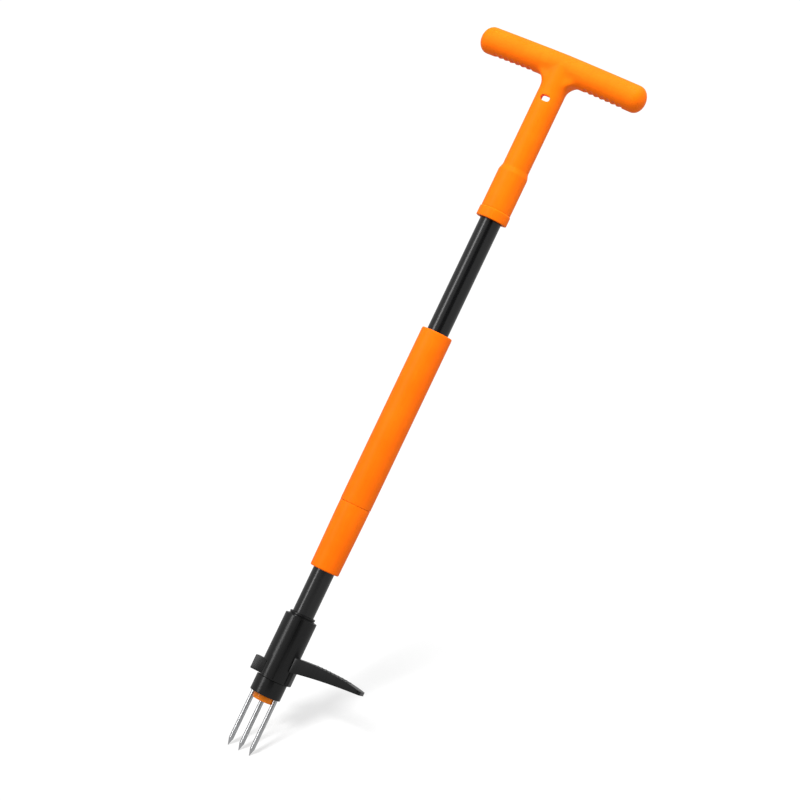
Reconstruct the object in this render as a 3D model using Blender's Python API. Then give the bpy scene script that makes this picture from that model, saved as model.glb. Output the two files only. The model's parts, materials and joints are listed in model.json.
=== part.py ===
"""Stand-up weed puller with three tines, a foot pedal and a sliding ejector sleeve.

Sliding the orange sleeve down the shaft drives a cross pin, a push rod, a yoke and two legs,
which push the ejector plate down the tines and strip the weed off. A spring lifts it again.
The square button on the left of the head is pressed in to free the tine holder.

Frame: the middle tine's tip is at the origin, +Z runs up the shaft, the cross bar and the row
of tines lie along X, and the pedal points along +X. Lengths are in metres.
"""

import math

import bmesh
import bpy
from mathutils import Matrix, Vector

MM = 0.001

# Clearances and mesh fineness
GAP = 0.3 * MM                   # between two pieces that touch or seat
SLIDE_GAP = 0.35 * MM            # round what slides or turns in a small hole
TURN_STEPS = 32                  # facets round a large turned piece
SMALL_STEPS = 16                 # facets round a pin, screw or rod
ARC_STEPS = 4                    # facets in a rounded edge

# Tines and ejector plate
TINE_RADIUS = 3.15 * MM
TINE_SPACING = 15.8 * MM
TINE_CONE = 9.8 * MM             # length of the pointed end
TINE_BARE = 69.1 * MM            # tips to the plate's underside
TINE_SEAT = 19.3 * MM            # depth that a tine goes into the holder
PLATE_THICKNESS = 7.5 * MM
PLATE_CHAMFER = 1.2 * MM
PLATE_INSET = 2.2 * MM           # the plate's edge ends this far inside the outer tines' axes
PLATE_REST_GAP = 0.6 * MM        # plate to holder, when the sleeve is up

# Tine holder, housing and head core
HOLDER_HEIGHT = 21.5 * MM        # the collar that shows under the housing
HOLDER_WALL = 1.65 * MM          # outside the outer tines
SPIGOT_HEIGHT = 25.3 * MM        # the holder's stem inside the housing
HOUSING_HEIGHT = 85.0 * MM
HOUSING_WALL_TOP = 3.75 * MM
HOUSING_WALL_BOTTOM = 4.2 * MM
HOUSING_EDGE = 0.8 * MM
CORE_WALL = 2.7 * MM
CORE_LIP = 4.4 * MM              # the part of the core that stands above the housing

# Foot pedal, in the plane of the tines
PEDAL_REACH = 115.0 * MM         # shaft axis to the pedal's end
PEDAL_HALF_WIDTH = 11.5 * MM
PEDAL_CROWN = 40.3 * MM          # highest stretch of the tread, above the housing's bottom
CROWN_START = 62.0 * MM          # shaft axis to where the highest stretch starts
CROWN_END = 74.0 * MM
PEDAL_ROOT_DROP = 2.9 * MM       # the tread's root below its highest stretch
PEDAL_END_DROP = 4.0 * MM
PEDAL_ROOT_DEPTH = 19.6 * MM
PEDAL_END_DEPTH = 4.6 * MM
PEDAL_HOLLOW = 1.6 * MM          # how far the underside arches above a straight line
PEDAL_STEPS = 6                  # facets in each curved stretch
PEDAL_CORNER = 5.0 * MM
BOSS_REACH = 24.5 * MM
BOSS_HALF_WIDTH = 7.0 * MM
BOSS_HEIGHT = 36.0 * MM
BOSS_EDGE = 1.4 * MM

# Lock button, on the -X side
BUTTON_REACH = 32.0 * MM
BUTTON_HALF_WIDTH = 5.5 * MM
BUTTON_HEIGHT = 18.7 * MM
BUTTON_RAISE = 0.6 * MM          # above the housing's bottom
BUTTON_EDGE = 0.8 * MM
BUTTON_TRAVEL = 5.0 * MM
BUTTON_GAP = 0.4 * MM            # round the button in its notch
NOTCH_END_X = -8.5 * MM          # the notch runs round the front to here
NOTCH_CORNER = 3.0 * MM
LIP_RISE = 2.4 * MM              # the catch above the button
LIP_DEPTH = 1.3 * MM             # how far the catch goes into the housing's wall
FLANGE_HALF_WIDTH = 6.9 * MM
FLANGE_THICKNESS = 1.5 * MM
POST_RADIUS = 1.7 * MM
POST_LENGTH = 3.2 * MM
LOCK_COIL_RADIUS = 2.7 * MM
LOCK_WIRE_RADIUS = 0.4 * MM
LOCK_TURNS = 4
LOCK_SPRING_SOLID = 4.6 * MM     # room that the pressed spring still has

# Shaft, sleeve and what slides in them
TUBE_RADIUS = 14.2 * MM
TUBE_WALL = 1.5 * MM
TRAVEL = 58.0 * MM
STOP_GAP = 3.6 * MM              # left under the sleeve when it is right down
FERRULE_LENGTH = 91.0 * MM
FERRULE_BAND = 14.0 * MM         # straight stretch under the seam
FERRULE_WALL = 3.2 * MM          # at its lower end
FERRULE_STEP = 0.3 * MM          # smaller than the sleeve at the seam
FERRULE_SPIGOT = 16.0 * MM
FERRULE_EDGE = 2.0 * MM
SLEEVE_LENGTH = 240.0 * MM
SLEEVE_WALL = 3.0 * MM
SLEEVE_EDGE = 2.6 * MM
BUSH_WALL = 2.85 * MM
LOWER_BUSH_WALL = 1.4 * MM
BUSH_LENGTH = 14.0 * MM
BUSH_INSET = 1.5 * MM            # below the sleeve's top, above the ferrule's bottom
CARRIER_LENGTH = 24.0 * MM
PIN_RADIUS = 2.5 * MM
PIN_DROP = 161.0 * MM            # sleeve top to cross pin
SLOT_END_GAP = 1.2 * MM
ROD_RADIUS = 4.0 * MM
ROD_HEAD_LENGTH = 31.0 * MM
ROD_HEAD_BELOW_PIN = 15.5 * MM
ROD_SEAT = 7.0 * MM              # depth that the rod goes into its head and its yoke
BORE_GAP = 0.4 * MM              # sliding pieces to the tube's bore
COIL_RADIUS = 7.5 * MM
WIRE_RADIUS = 0.8 * MM
COIL_TURNS = 11
SPRING_SOLID = 80.0 * MM         # room that the pressed return spring still has
STOP_LENGTH = 12.0 * MM
SET_SCREW_RADIUS = 1.5 * MM
SET_SCREW_SEAT = 4.5 * MM        # into the spring stop
SET_SCREW_INSET = 0.3 * MM       # below the tube's skin

# Ejector yoke and legs
YOKE_LENGTH = 10.0 * MM
YOKE_END_GAP = 2.0 * MM          # to the holder, when the sleeve is right down
LEG_RADIUS = 2.2 * MM
LEG_EDGE = 0.4 * MM              # yoke's rim outside a leg
LEG_SEAT = 3.0 * MM              # into the yoke
LEG_PLATE_SEAT = 5.0 * MM        # into the plate

# T-handle
UPPER_SHAFT = 157.3 * MM         # bare tube between sleeve and handle
NECK_WALL = 3.05 * MM
NECK_HEIGHT = 214.1 * MM         # handle's mouth to the bar's axis
SOCKET_DEPTH = 143.7 * MM
MOUTH_RADIUS_STEP = 0.9 * MM
MOUTH_DEPTH = 4.0 * MM
BEAD_HEIGHT = 12.7 * MM
BEAD_STEP = 0.9 * MM
COLLAR_HEIGHT = 65.2 * MM
COLLAR_STEP = 2.25 * MM
COLLAR_SLOPE = 6.5 * MM
BAR_RADIUS = 17.6 * MM
BAR_HALF_LENGTH = 117.0 * MM
BAR_NOSE = 13.5 * MM             # length of the rounded end
BAR_DROP = 2.0 * MM              # how much lower the bar is at its ends
BAR_RINGS = 8                    # stretches along the bar
FILLET = 8.5 * MM                # between neck and bar
FILLET_HALF_WIDTH = 15.0 * MM
HANG_DROP = 46.4 * MM            # bar axis to hang hole
HANG_HALF_WIDTH = 6.35 * MM
HANG_RADIUS = 3.8 * MM
POCKET_HALF_WIDTH = 12.5 * MM    # coring pocket in the neck's back, round the hang hole
POCKET_HALF_HEIGHT = 20.0 * MM
POCKET_WALL = 10.0 * MM          # left at the front
POCKET_EDGE = 2.5 * MM
TEETH = 7
TEETH_START = 40.5 * MM
TEETH_PITCH = 8.0 * MM
TOOTH_RADIUS = 2.8 * MM
TOOTH_DEPTH = 2.4 * MM

# Screws at the back
SCREW_RADIUS = 1.6 * MM
SCREW_HEAD_RADIUS = 3.1 * MM
SCREW_HEAD_HEIGHT = 1.4 * MM
SCREW_INSET = 0.5 * MM
HEAD_SCREW_RAISE = 66.0 * MM     # above the housing's bottom
HANDLE_SCREW_RAISE = 95.0 * MM   # above the handle's mouth

# Heights, from the tips up
PLATE_Z = TINE_BARE
HOLDER_Z = PLATE_Z + PLATE_THICKNESS + PLATE_REST_GAP
SPIGOT_Z = HOLDER_Z + HOLDER_HEIGHT
SPIGOT_TOP = SPIGOT_Z + SPIGOT_HEIGHT
HOUSING_Z = SPIGOT_Z + GAP
HOUSING_TOP = HOUSING_Z + HOUSING_HEIGHT
CORE_TOP = HOUSING_TOP + CORE_LIP
TUBE_Z = SPIGOT_TOP + GAP
SLEEVE_Z = CORE_TOP + TRAVEL + STOP_GAP
SEAM_Z = SLEEVE_Z + FERRULE_LENGTH
SLEEVE_TOP = SEAM_Z + SLEEVE_LENGTH
HANDLE_Z = SLEEVE_TOP + UPPER_SHAFT
BAR_Z = HANDLE_Z + NECK_HEIGHT
TUBE_TOP = HANDLE_Z + SOCKET_DEPTH - GAP
PIN_Z = SLEEVE_TOP - PIN_DROP
ROD_HEAD_Z = PIN_Z - ROD_HEAD_BELOW_PIN
SPRING_TOP = ROD_HEAD_Z - GAP
STOP_TOP = SPRING_TOP - TRAVEL - SPRING_SOLID - GAP
YOKE_Z = SPIGOT_TOP + TRAVEL + YOKE_END_GAP
BUTTON_Z = HOUSING_Z + BUTTON_RAISE
BUTTON_TOP = BUTTON_Z + BUTTON_HEIGHT
BUTTON_MID = (BUTTON_Z + BUTTON_TOP) / 2

# Radii that follow from what fits into what
TUBE_BORE = TUBE_RADIUS - TUBE_WALL
SOCKET_RADIUS = TUBE_RADIUS + GAP
CORE_RADIUS = SOCKET_RADIUS + CORE_WALL
HOUSING_BORE = CORE_RADIUS + GAP
HOUSING_TOP_RADIUS = HOUSING_BORE + HOUSING_WALL_TOP
HOUSING_RADIUS = HOUSING_BORE + HOUSING_WALL_BOTTOM
HOLDER_RADIUS = TINE_SPACING + TINE_RADIUS + HOLDER_WALL
SLEEVE_BORE = SOCKET_RADIUS + BUSH_WALL + GAP
SLEEVE_RADIUS = SLEEVE_BORE + SLEEVE_WALL
FERRULE_BORE = SOCKET_RADIUS + LOWER_BUSH_WALL + GAP
BUSH_RADIUS = SLEEVE_BORE - GAP
NECK_RADIUS = SOCKET_RADIUS + NECK_WALL
COLLAR_RADIUS = NECK_RADIUS + COLLAR_STEP
BEAD_RADIUS = COLLAR_RADIUS + BEAD_STEP
SLIDER_RADIUS = TUBE_BORE - BORE_GAP
LEG_OFFSET = SLIDER_RADIUS - LEG_EDGE - LEG_RADIUS
PLATE_RADIUS = TINE_SPACING - PLATE_INSET
PEDAL_ROOT_X = HOUSING_BORE + HOUSING_WALL_TOP / 2

# Places along X in the lock button
FLANGE_X = -math.sqrt(HOUSING_BORE**2 - FLANGE_HALF_WIDTH**2) + 2 * GAP
FLANGE_BACK_X = FLANGE_X + FLANGE_THICKNESS
POCKET_X = FLANGE_BACK_X + BUTTON_TRAVEL + BUTTON_GAP
LOCK_SPRING_END_X = FLANGE_BACK_X + GAP + BUTTON_TRAVEL + LOCK_SPRING_SOLID
CATCH_X = -HOUSING_BORE - LIP_DEPTH

SIDES = (("front", -1), ("back", 1))

FINISHES = {
    "orange": ((0.95, 0.28, 0.02, 1.0), 0.45, 0.0),
    "black_plastic": ((0.02, 0.02, 0.022, 1.0), 0.38, 0.0),
    "black_paint": ((0.012, 0.012, 0.013, 1.0), 0.15, 0.1),
    "polished_steel": ((0.72, 0.72, 0.74, 1.0), 0.18, 1.0),
    "zinc_steel": ((0.55, 0.56, 0.58, 1.0), 0.35, 1.0),
    "pale_nylon": ((0.75, 0.74, 0.70, 1.0), 0.5, 0.0),
}


# Building blocks

def clear_scene():
    """Remove every object that the file starts with."""
    for obj in list(bpy.data.objects):
        bpy.data.objects.remove(obj, do_unlink=True)


def finish_material(name, finish):
    """Give a piece a material of its own in one of the named finishes."""
    colour, roughness, metallic = FINISHES[finish]
    material = bpy.data.materials.new(name)
    material.use_nodes = True
    shader = material.node_tree.nodes["Principled BSDF"]
    shader.inputs["Base Color"].default_value = colour
    shader.inputs["Roughness"].default_value = roughness
    shader.inputs["Metallic"].default_value = metallic
    return material


def add_empty(name, place):
    """Add the empty that a moving group hangs on, on its joint's axis."""
    empty = bpy.data.objects.new(name, None)
    empty.empty_display_size = 20 * MM
    empty.location = place
    bpy.context.collection.objects.link(empty)
    return empty


def add_mesh(name, bm, origin=(0.0, 0.0, 0.0)):
    """Turn a bmesh in world places into an object whose origin is at origin."""
    bmesh.ops.recalc_face_normals(bm, faces=bm.faces)
    mesh = bpy.data.meshes.new(name)
    bm.to_mesh(mesh)
    bm.free()
    mesh.shade_smooth()
    mesh.set_sharp_from_angle(angle=math.radians(35))
    mesh.transform(Matrix.Translation(-Vector(origin)))
    obj = bpy.data.objects.new(name, mesh)
    obj.location = origin
    bpy.context.collection.objects.link(obj)
    return obj


def dress(obj, finish, parent=None):
    """Give a finished piece its material and hang it on its group's empty."""
    obj.data.materials.append(finish_material(obj.name, finish))
    if parent:
        obj.parent = parent
        obj.matrix_parent_inverse = Matrix.Translation(-parent.location)
    return obj


def hide(obj):
    """Mark an object as a tool for Booleans, not a piece."""
    obj.hide_render = True
    obj.display_type = "WIRE"
    return obj


def boolean(obj, tools, operation):
    """Join or cut obj with several hidden tool objects in one step."""
    group = bpy.data.collections.new(f"{operation.lower()} {obj.name}")
    for tool in tools:
        group.objects.link(hide(tool))
    modifier = obj.modifiers.new(group.name, "BOOLEAN")
    modifier.operation = operation
    modifier.solver = "EXACT"
    modifier.operand_type = "COLLECTION"
    modifier.collection = group


def cut(obj, *tools):
    """Cut all the tools out of obj."""
    boolean(obj, tools, "DIFFERENCE")


def join(obj, *tools):
    """Join all the tools to obj as one body."""
    boolean(obj, tools, "UNION")


def arc(centre, radius, start, end, steps=ARC_STEPS):
    """Points (r, z) of an arc, its angles in degrees from the outward direction."""
    turns = [math.radians(start + (end - start) * n / steps) for n in range(steps + 1)]
    return [(centre[0] + radius * math.cos(t), centre[1] + radius * math.sin(t)) for t in turns]


def turned(name, outline, steps=TURN_STEPS, base=0.0):
    """Spin a closed outline of (r, z) points round the Z axis."""
    bm = bmesh.new()
    ring = [bm.verts.new((r, 0.0, z)) for r, z in outline]
    edges = [bm.edges.new((a, b)) for a, b in zip(ring, ring[1:] + ring[:1])
             if a.co.x > 0 or b.co.x > 0]
    bmesh.ops.spin(bm, geom=ring + edges, cent=(0, 0, 0), axis=(0, 0, 1),
                   angle=2 * math.pi, steps=steps, use_merge=True)
    bmesh.ops.remove_doubles(bm, verts=bm.verts, dist=0.001 * MM)
    return add_mesh(name, bm, (0.0, 0.0, base))


def tube_outline(inner, outer, bottom, top):
    """Outline of a plain ring or tube."""
    return [(inner, bottom), (outer, bottom), (outer, top), (inner, top)]


def rod_outline(radius, bottom, top):
    """Outline of a plain solid rod."""
    return tube_outline(0.0, radius, bottom, top)


def rod(name, radius, start, end, steps=SMALL_STEPS):
    """A solid round bar from start to end, in any direction."""
    start, end = Vector(start), Vector(end)
    bm = bmesh.new()
    turn = (end - start).to_track_quat("Z", "Y").to_matrix().to_4x4()
    bmesh.ops.create_cone(bm, cap_ends=True, segments=steps, radius1=radius, radius2=radius,
                          depth=(end - start).length,
                          matrix=Matrix.Translation((start + end) / 2) @ turn)
    return add_mesh(name, bm, start)


def block(name, low, high, edge=0.0):
    """A box between two corners, its edges rounded if edge is given."""
    low, high = Vector(low), Vector(high)
    bm = bmesh.new()
    size = Matrix.Diagonal((high - low).to_4d())
    size[3][3] = 1.0
    bmesh.ops.create_cube(bm, size=1.0, matrix=Matrix.Translation((low + high) / 2) @ size)
    if edge:
        bmesh.ops.bevel(bm, geom=bm.edges[:], offset=edge, segments=2, profile=0.5,
                        affect="EDGES")
    return add_mesh(name, bm, (low + high) / 2)


def extruded(name, outline, half_width):
    """An outline of (x, z) points made solid from -half_width to +half_width along Y."""
    bm = bmesh.new()
    face = bm.faces.new([bm.verts.new((x, -half_width, z)) for x, z in outline])
    grown = bmesh.ops.extrude_face_region(bm, geom=[face])
    moved = [v for v in grown["geom"] if isinstance(v, bmesh.types.BMVert)]
    bmesh.ops.translate(bm, verts=moved, vec=(0.0, 2 * half_width, 0.0))
    return add_mesh(name, bm)


def coil(name, start, end, coil_radius, wire_radius, turns):
    """A helical spring from start to end, as a bevelled curve with filled ends."""
    start, end = Vector(start), Vector(end)
    length = (end - start).length - 2 * wire_radius
    turn = (end - start).to_track_quat("Z", "Y")
    curve = bpy.data.curves.new(name, "CURVE")
    curve.dimensions = "3D"
    curve.bevel_depth = wire_radius
    curve.bevel_resolution = 1
    curve.use_fill_caps = True
    spline = curve.splines.new("POLY")
    count = 12 * turns + 1
    spline.points.add(count - 1)
    for n, point in enumerate(spline.points):
        angle = 2 * math.pi * n / 12
        rise = wire_radius + length * n / (count - 1)
        point.co = (coil_radius * math.cos(angle), coil_radius * math.sin(angle), rise, 1.0)
    obj = bpy.data.objects.new(name, curve)
    obj.rotation_euler = turn.to_euler()
    obj.location = start
    bpy.context.collection.objects.link(obj)
    return obj


# Tines and ejector

def tine(name, x):
    """One pointed tine, its tip at the height of the origin."""
    top = HOLDER_Z + TINE_SEAT
    outline = [(0.0, 0.0), (TINE_RADIUS, TINE_CONE), (TINE_RADIUS, top), (0.0, top)]
    obj = turned(name, outline, SMALL_STEPS)
    obj.location.x = x
    return dress(obj, "polished_steel")


def tine_places():
    """The tines' names and their places along X."""
    return (("tine_left", -TINE_SPACING), ("tine_centre", 0.0), ("tine_right", TINE_SPACING))


def leg_places():
    """The legs' names and their places along Y, in front of and behind the middle tine."""
    return tuple((place, side * LEG_OFFSET) for place, side in SIDES)


def ejector_plate(group):
    """The orange disc: a hole and two notches for the tines, two blind holes for the legs."""
    top = PLATE_Z + PLATE_THICKNESS
    plate = turned("ejector_plate", [
        (0.0, PLATE_Z), (PLATE_RADIUS - PLATE_CHAMFER, PLATE_Z),
        (PLATE_RADIUS, PLATE_Z + PLATE_CHAMFER), (PLATE_RADIUS, top), (0.0, top),
    ], base=PLATE_Z)
    holes = [rod(f"cut_plate_{name}", TINE_RADIUS + SLIDE_GAP, (x, 0, PLATE_Z - MM),
                 (x, 0, top + MM)) for name, x in tine_places()]
    holes += [rod(f"cut_plate_leg_{place}", LEG_RADIUS + GAP,
                  (0, y, top - LEG_PLATE_SEAT - GAP), (0, y, top + MM))
              for place, y in leg_places()]
    cut(plate, *holes)
    return dress(plate, "orange", group)


def ejector_yoke(group):
    """The slug in the tube that joins the push rod to the two legs."""
    top = YOKE_Z + YOKE_LENGTH
    yoke = turned("ejector_yoke", rod_outline(SLIDER_RADIUS, YOKE_Z, top), base=YOKE_Z)
    holes = [rod("cut_yoke_rod", ROD_RADIUS + GAP, (0, 0, top - ROD_SEAT - GAP),
                 (0, 0, top + MM))]
    holes += [rod(f"cut_yoke_leg_{place}", LEG_RADIUS + GAP / 2,
                  (0, y, YOKE_Z - MM), (0, y, YOKE_Z + LEG_SEAT + GAP))
              for place, y in leg_places()]
    cut(yoke, *holes)
    return dress(yoke, "pale_nylon", group)


def ejector_leg(place, y, group):
    """A thin rod from the yoke, through the tine holder, to the plate."""
    bottom = PLATE_Z + PLATE_THICKNESS - LEG_PLATE_SEAT
    return dress(rod(f"ejector_leg_{place}", LEG_RADIUS, (0, y, bottom),
                     (0, y, YOKE_Z + LEG_SEAT)), "zinc_steel", group)


def push_rod(group):
    """The long rod from the cross pin's head down to the yoke."""
    bottom = YOKE_Z + YOKE_LENGTH - ROD_SEAT
    return dress(rod("push_rod", ROD_RADIUS, (0, 0, bottom), (0, 0, ROD_HEAD_Z + ROD_SEAT)),
                 "zinc_steel", group)


def rod_head(group):
    """The slug that takes the cross pin and bears on the return spring."""
    head = turned("rod_head", rod_outline(SLIDER_RADIUS, ROD_HEAD_Z,
                                          ROD_HEAD_Z + ROD_HEAD_LENGTH), base=ROD_HEAD_Z)
    cut(head,
        rod("cut_head_rod", ROD_RADIUS + GAP, (0, 0, ROD_HEAD_Z - MM),
            (0, 0, ROD_HEAD_Z + ROD_SEAT + GAP)),
        rod("cut_head_pin", PIN_RADIUS + GAP, (0, -TUBE_RADIUS, PIN_Z), (0, TUBE_RADIUS, PIN_Z)))
    return dress(head, "pale_nylon", group)


def return_spring(group):
    """The coil between the spring stop and the rod's head."""
    spring = coil("return_spring", (0, 0, STOP_TOP + GAP), (0, 0, SPRING_TOP), COIL_RADIUS,
                  WIRE_RADIUS, COIL_TURNS)
    return dress(spring, "zinc_steel", group)


def cross_pin(group):
    """The pin that carries the sleeve's push through the tube's slots."""
    reach = BUSH_RADIUS - GAP
    return dress(rod("cross_pin", PIN_RADIUS, (0, -reach, PIN_Z), (0, reach, PIN_Z)),
                 "zinc_steel", group)


# Sleeve

def bush(name, outer, bottom, length, group):
    """A plain ring that slides on the shaft."""
    ring = turned(name, tube_outline(SOCKET_RADIUS, outer, bottom, bottom + length), base=bottom)
    return dress(ring, "pale_nylon", group)


def pin_carrier(group):
    """The ring inside the sleeve that holds the cross pin's ends."""
    bottom = PIN_Z - CARRIER_LENGTH / 2
    carrier = bush("pin_carrier", BUSH_RADIUS, bottom, CARRIER_LENGTH, group)
    cut(carrier, rod("cut_carrier_pin", PIN_RADIUS + GAP, (0, -SLEEVE_RADIUS, PIN_Z),
                     (0, SLEEVE_RADIUS, PIN_Z)))
    return carrier


def grip_sleeve(group):
    """The long orange grip, rounded at its top."""
    bottom = SEAM_Z + GAP / 2
    outline = [(SLEEVE_BORE, bottom), (SLEEVE_RADIUS, bottom)]
    outline += arc((SLEEVE_RADIUS - SLEEVE_EDGE, SLEEVE_TOP - SLEEVE_EDGE), SLEEVE_EDGE, 0, 90)
    outline += [(SLEEVE_BORE, SLEEVE_TOP)]
    return dress(turned("grip_sleeve", outline, base=bottom), "orange", group)


def grip_ferrule(group):
    """The tapered lower piece, with a spigot up into the sleeve."""
    top = SEAM_Z - GAP / 2
    band = FERRULE_BAND
    foot_radius = FERRULE_BORE + FERRULE_WALL
    outline = [(FERRULE_BORE, SLEEVE_Z)]
    outline += arc((foot_radius - FERRULE_EDGE, SLEEVE_Z + FERRULE_EDGE), FERRULE_EDGE, -90, 0)
    outline += [
        (SLEEVE_RADIUS - FERRULE_STEP, top - band),
        (SLEEVE_RADIUS - FERRULE_STEP, top),
        (SLEEVE_BORE - GAP, top),
        (SLEEVE_BORE - GAP, top + FERRULE_SPIGOT),
        (FERRULE_BORE, top + FERRULE_SPIGOT),
    ]
    return dress(turned("grip_ferrule", outline, base=SLEEVE_Z), "orange", group)


# Shaft

def screw_hole(name, place_z, reach, width=SCREW_RADIUS + GAP):
    """A round hole into the +Y side, from inside the tube's bore out to reach."""
    return rod(name, width, (0, TUBE_BORE - 2 * MM, place_z), (0, reach, place_z))


def shaft_tube():
    """The steel tube, slotted for the cross pin and drilled for its screws."""
    tube = turned("shaft_tube", tube_outline(TUBE_BORE, TUBE_RADIUS, TUBE_Z, TUBE_TOP),
                  base=TUBE_Z)
    half = PIN_RADIUS + GAP
    low = PIN_Z - TRAVEL - PIN_RADIUS - SLOT_END_GAP
    high = PIN_Z + PIN_RADIUS + SLOT_END_GAP
    cut(tube,
        block("cut_tube_slots", (-half, -TUBE_RADIUS - MM, low), (half, TUBE_RADIUS + MM, high)),
        rod("cut_tube_stop_screws", SET_SCREW_RADIUS + GAP,
            (0, -TUBE_RADIUS - MM, STOP_TOP - STOP_LENGTH / 2),
            (0, TUBE_RADIUS + MM, STOP_TOP - STOP_LENGTH / 2)),
        screw_hole("cut_tube_head_screw", HOUSING_Z + HEAD_SCREW_RAISE, TUBE_RADIUS + MM),
        screw_hole("cut_tube_handle_screw", HANDLE_Z + HANDLE_SCREW_RAISE, TUBE_RADIUS + MM))
    return dress(tube, "black_paint")


def spring_stop():
    """The ring fixed in the tube that the spring stands on and the rod runs through."""
    bottom = STOP_TOP - STOP_LENGTH
    middle = STOP_TOP - STOP_LENGTH / 2
    stop = turned("spring_stop", tube_outline(ROD_RADIUS + SLIDE_GAP, TUBE_BORE - GAP, bottom,
                                              STOP_TOP), base=bottom)
    cut(stop, *[rod(f"cut_stop_{place}", SET_SCREW_RADIUS + GAP / 2,
                    (0, side * (TUBE_BORE - SET_SCREW_SEAT - GAP), middle),
                    (0, side * TUBE_RADIUS, middle)) for place, side in SIDES])
    return dress(stop, "zinc_steel")


def stop_screw(place, side):
    """A headless set screw, sunk below the tube's skin."""
    middle = STOP_TOP - STOP_LENGTH / 2
    return dress(rod(f"stop_screw_{place}", SET_SCREW_RADIUS,
                     (0, side * (TUBE_BORE - SET_SCREW_SEAT), middle),
                     (0, side * (TUBE_RADIUS - SET_SCREW_INSET), middle)), "zinc_steel")


def back_screw(name, place_z, surface):
    """A pan-head screw on the +Y side: its head sunk in a moulding, its tip in the tube's wall."""
    head_top = surface - SCREW_INSET
    head_bottom = head_top - SCREW_HEAD_HEIGHT
    tip = TUBE_BORE + GAP
    screw = rod(name, SCREW_RADIUS, (0, tip, place_z), (0, head_bottom + 0.2 * MM, place_z))
    join(screw, rod(f"join_{name}", SCREW_HEAD_RADIUS, (0, head_bottom, place_z),
                    (0, head_top, place_z)))
    return dress(screw, "zinc_steel")


def back_screw_cuts(name, place_z, surface):
    """The hole and counterbore that a back screw needs in a moulding."""
    floor = surface - SCREW_INSET - SCREW_HEAD_HEIGHT - GAP
    return (screw_hole(f"cut_{name}", place_z, surface + MM),
            rod(f"cut_{name}_head", SCREW_HEAD_RADIUS + GAP, (0, floor, place_z),
                (0, surface + 3 * MM, place_z)))


def housing_radius_at(z):
    """The housing's outer radius at a height: it widens a little towards its bottom."""
    share = (z - HOUSING_Z) / HOUSING_HEIGHT
    return HOUSING_RADIUS + (HOUSING_TOP_RADIUS - HOUSING_RADIUS) * share


# Head

def head_core():
    """The reducer between tube and housing, whose lip shows on top."""
    lip_edge = 0.5 * MM
    core = turned("head_core", [
        (SOCKET_RADIUS, TUBE_Z), (CORE_RADIUS, TUBE_Z), (CORE_RADIUS, CORE_TOP - lip_edge),
        (CORE_RADIUS - lip_edge, CORE_TOP), (SOCKET_RADIUS, CORE_TOP),
    ], base=TUBE_Z)
    cut(core, screw_hole("cut_core_screw", HOUSING_Z + HEAD_SCREW_RAISE, CORE_RADIUS + MM))
    return dress(core, "black_plastic")


def tread_height(x):
    """The tread's height: it rises from its root, runs level, and falls to its end."""
    drop = 0.0
    if x < CROWN_START:
        drop = PEDAL_ROOT_DROP * ((CROWN_START - x) / (CROWN_START - PEDAL_ROOT_X)) ** 2
    elif x > CROWN_END:
        drop = PEDAL_END_DROP * ((x - CROWN_END) / (PEDAL_REACH - CROWN_END)) ** 2
    return HOUSING_Z + PEDAL_CROWN - drop


def underside_height(x):
    """The height of the pedal's underside, which tapers towards its end."""
    share = (x - PEDAL_ROOT_X) / (PEDAL_REACH - PEDAL_ROOT_X)
    root = tread_height(PEDAL_ROOT_X) - PEDAL_ROOT_DEPTH
    end = tread_height(PEDAL_REACH) - PEDAL_END_DEPTH
    return root + (end - root) * share + 4 * PEDAL_HOLLOW * share * (1 - share)


def spread(start, end, steps=PEDAL_STEPS):
    """Even places from start to end, both included."""
    return [start + (end - start) * n / steps for n in range(steps + 1)]


def pedal_blade():
    """The foot pedal: a crowned tread and a tapered underside."""
    top = spread(PEDAL_ROOT_X, CROWN_START) + spread(CROWN_END, PEDAL_REACH)
    under = spread(PEDAL_REACH, PEDAL_ROOT_X)
    blade = extruded("join_pedal", [(x, tread_height(x)) for x in top]
                     + [(x, underside_height(x)) for x in under], PEDAL_HALF_WIDTH)
    bm = bmesh.new()
    bm.from_mesh(blade.data)
    corners = [e for e in bm.edges if all(v.co.x > PEDAL_REACH - MM for v in e.verts)
               and abs(e.verts[0].co.z - e.verts[1].co.z) > MM]
    bmesh.ops.bevel(bm, geom=corners, offset=PEDAL_CORNER, segments=ARC_STEPS, profile=0.5,
                    affect="EDGES")
    bm.to_mesh(blade.data)
    bm.free()
    return blade


def button_notch(width):
    """The notch for the button, open at the bottom and round to the front."""
    top = BUTTON_TOP + BUTTON_GAP
    corner = arc((NOTCH_END_X - NOTCH_CORNER, top - NOTCH_CORNER), NOTCH_CORNER, 0, 90)
    half = (HOUSING_RADIUS + MM + width) / 2
    notch = extruded("cut_button_notch", [
        (-HOUSING_RADIUS - MM, HOUSING_Z - MM), (NOTCH_END_X, HOUSING_Z - MM), *corner,
        (-HOUSING_RADIUS - MM, top)], half)
    notch.location.y = width - half
    return notch


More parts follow.
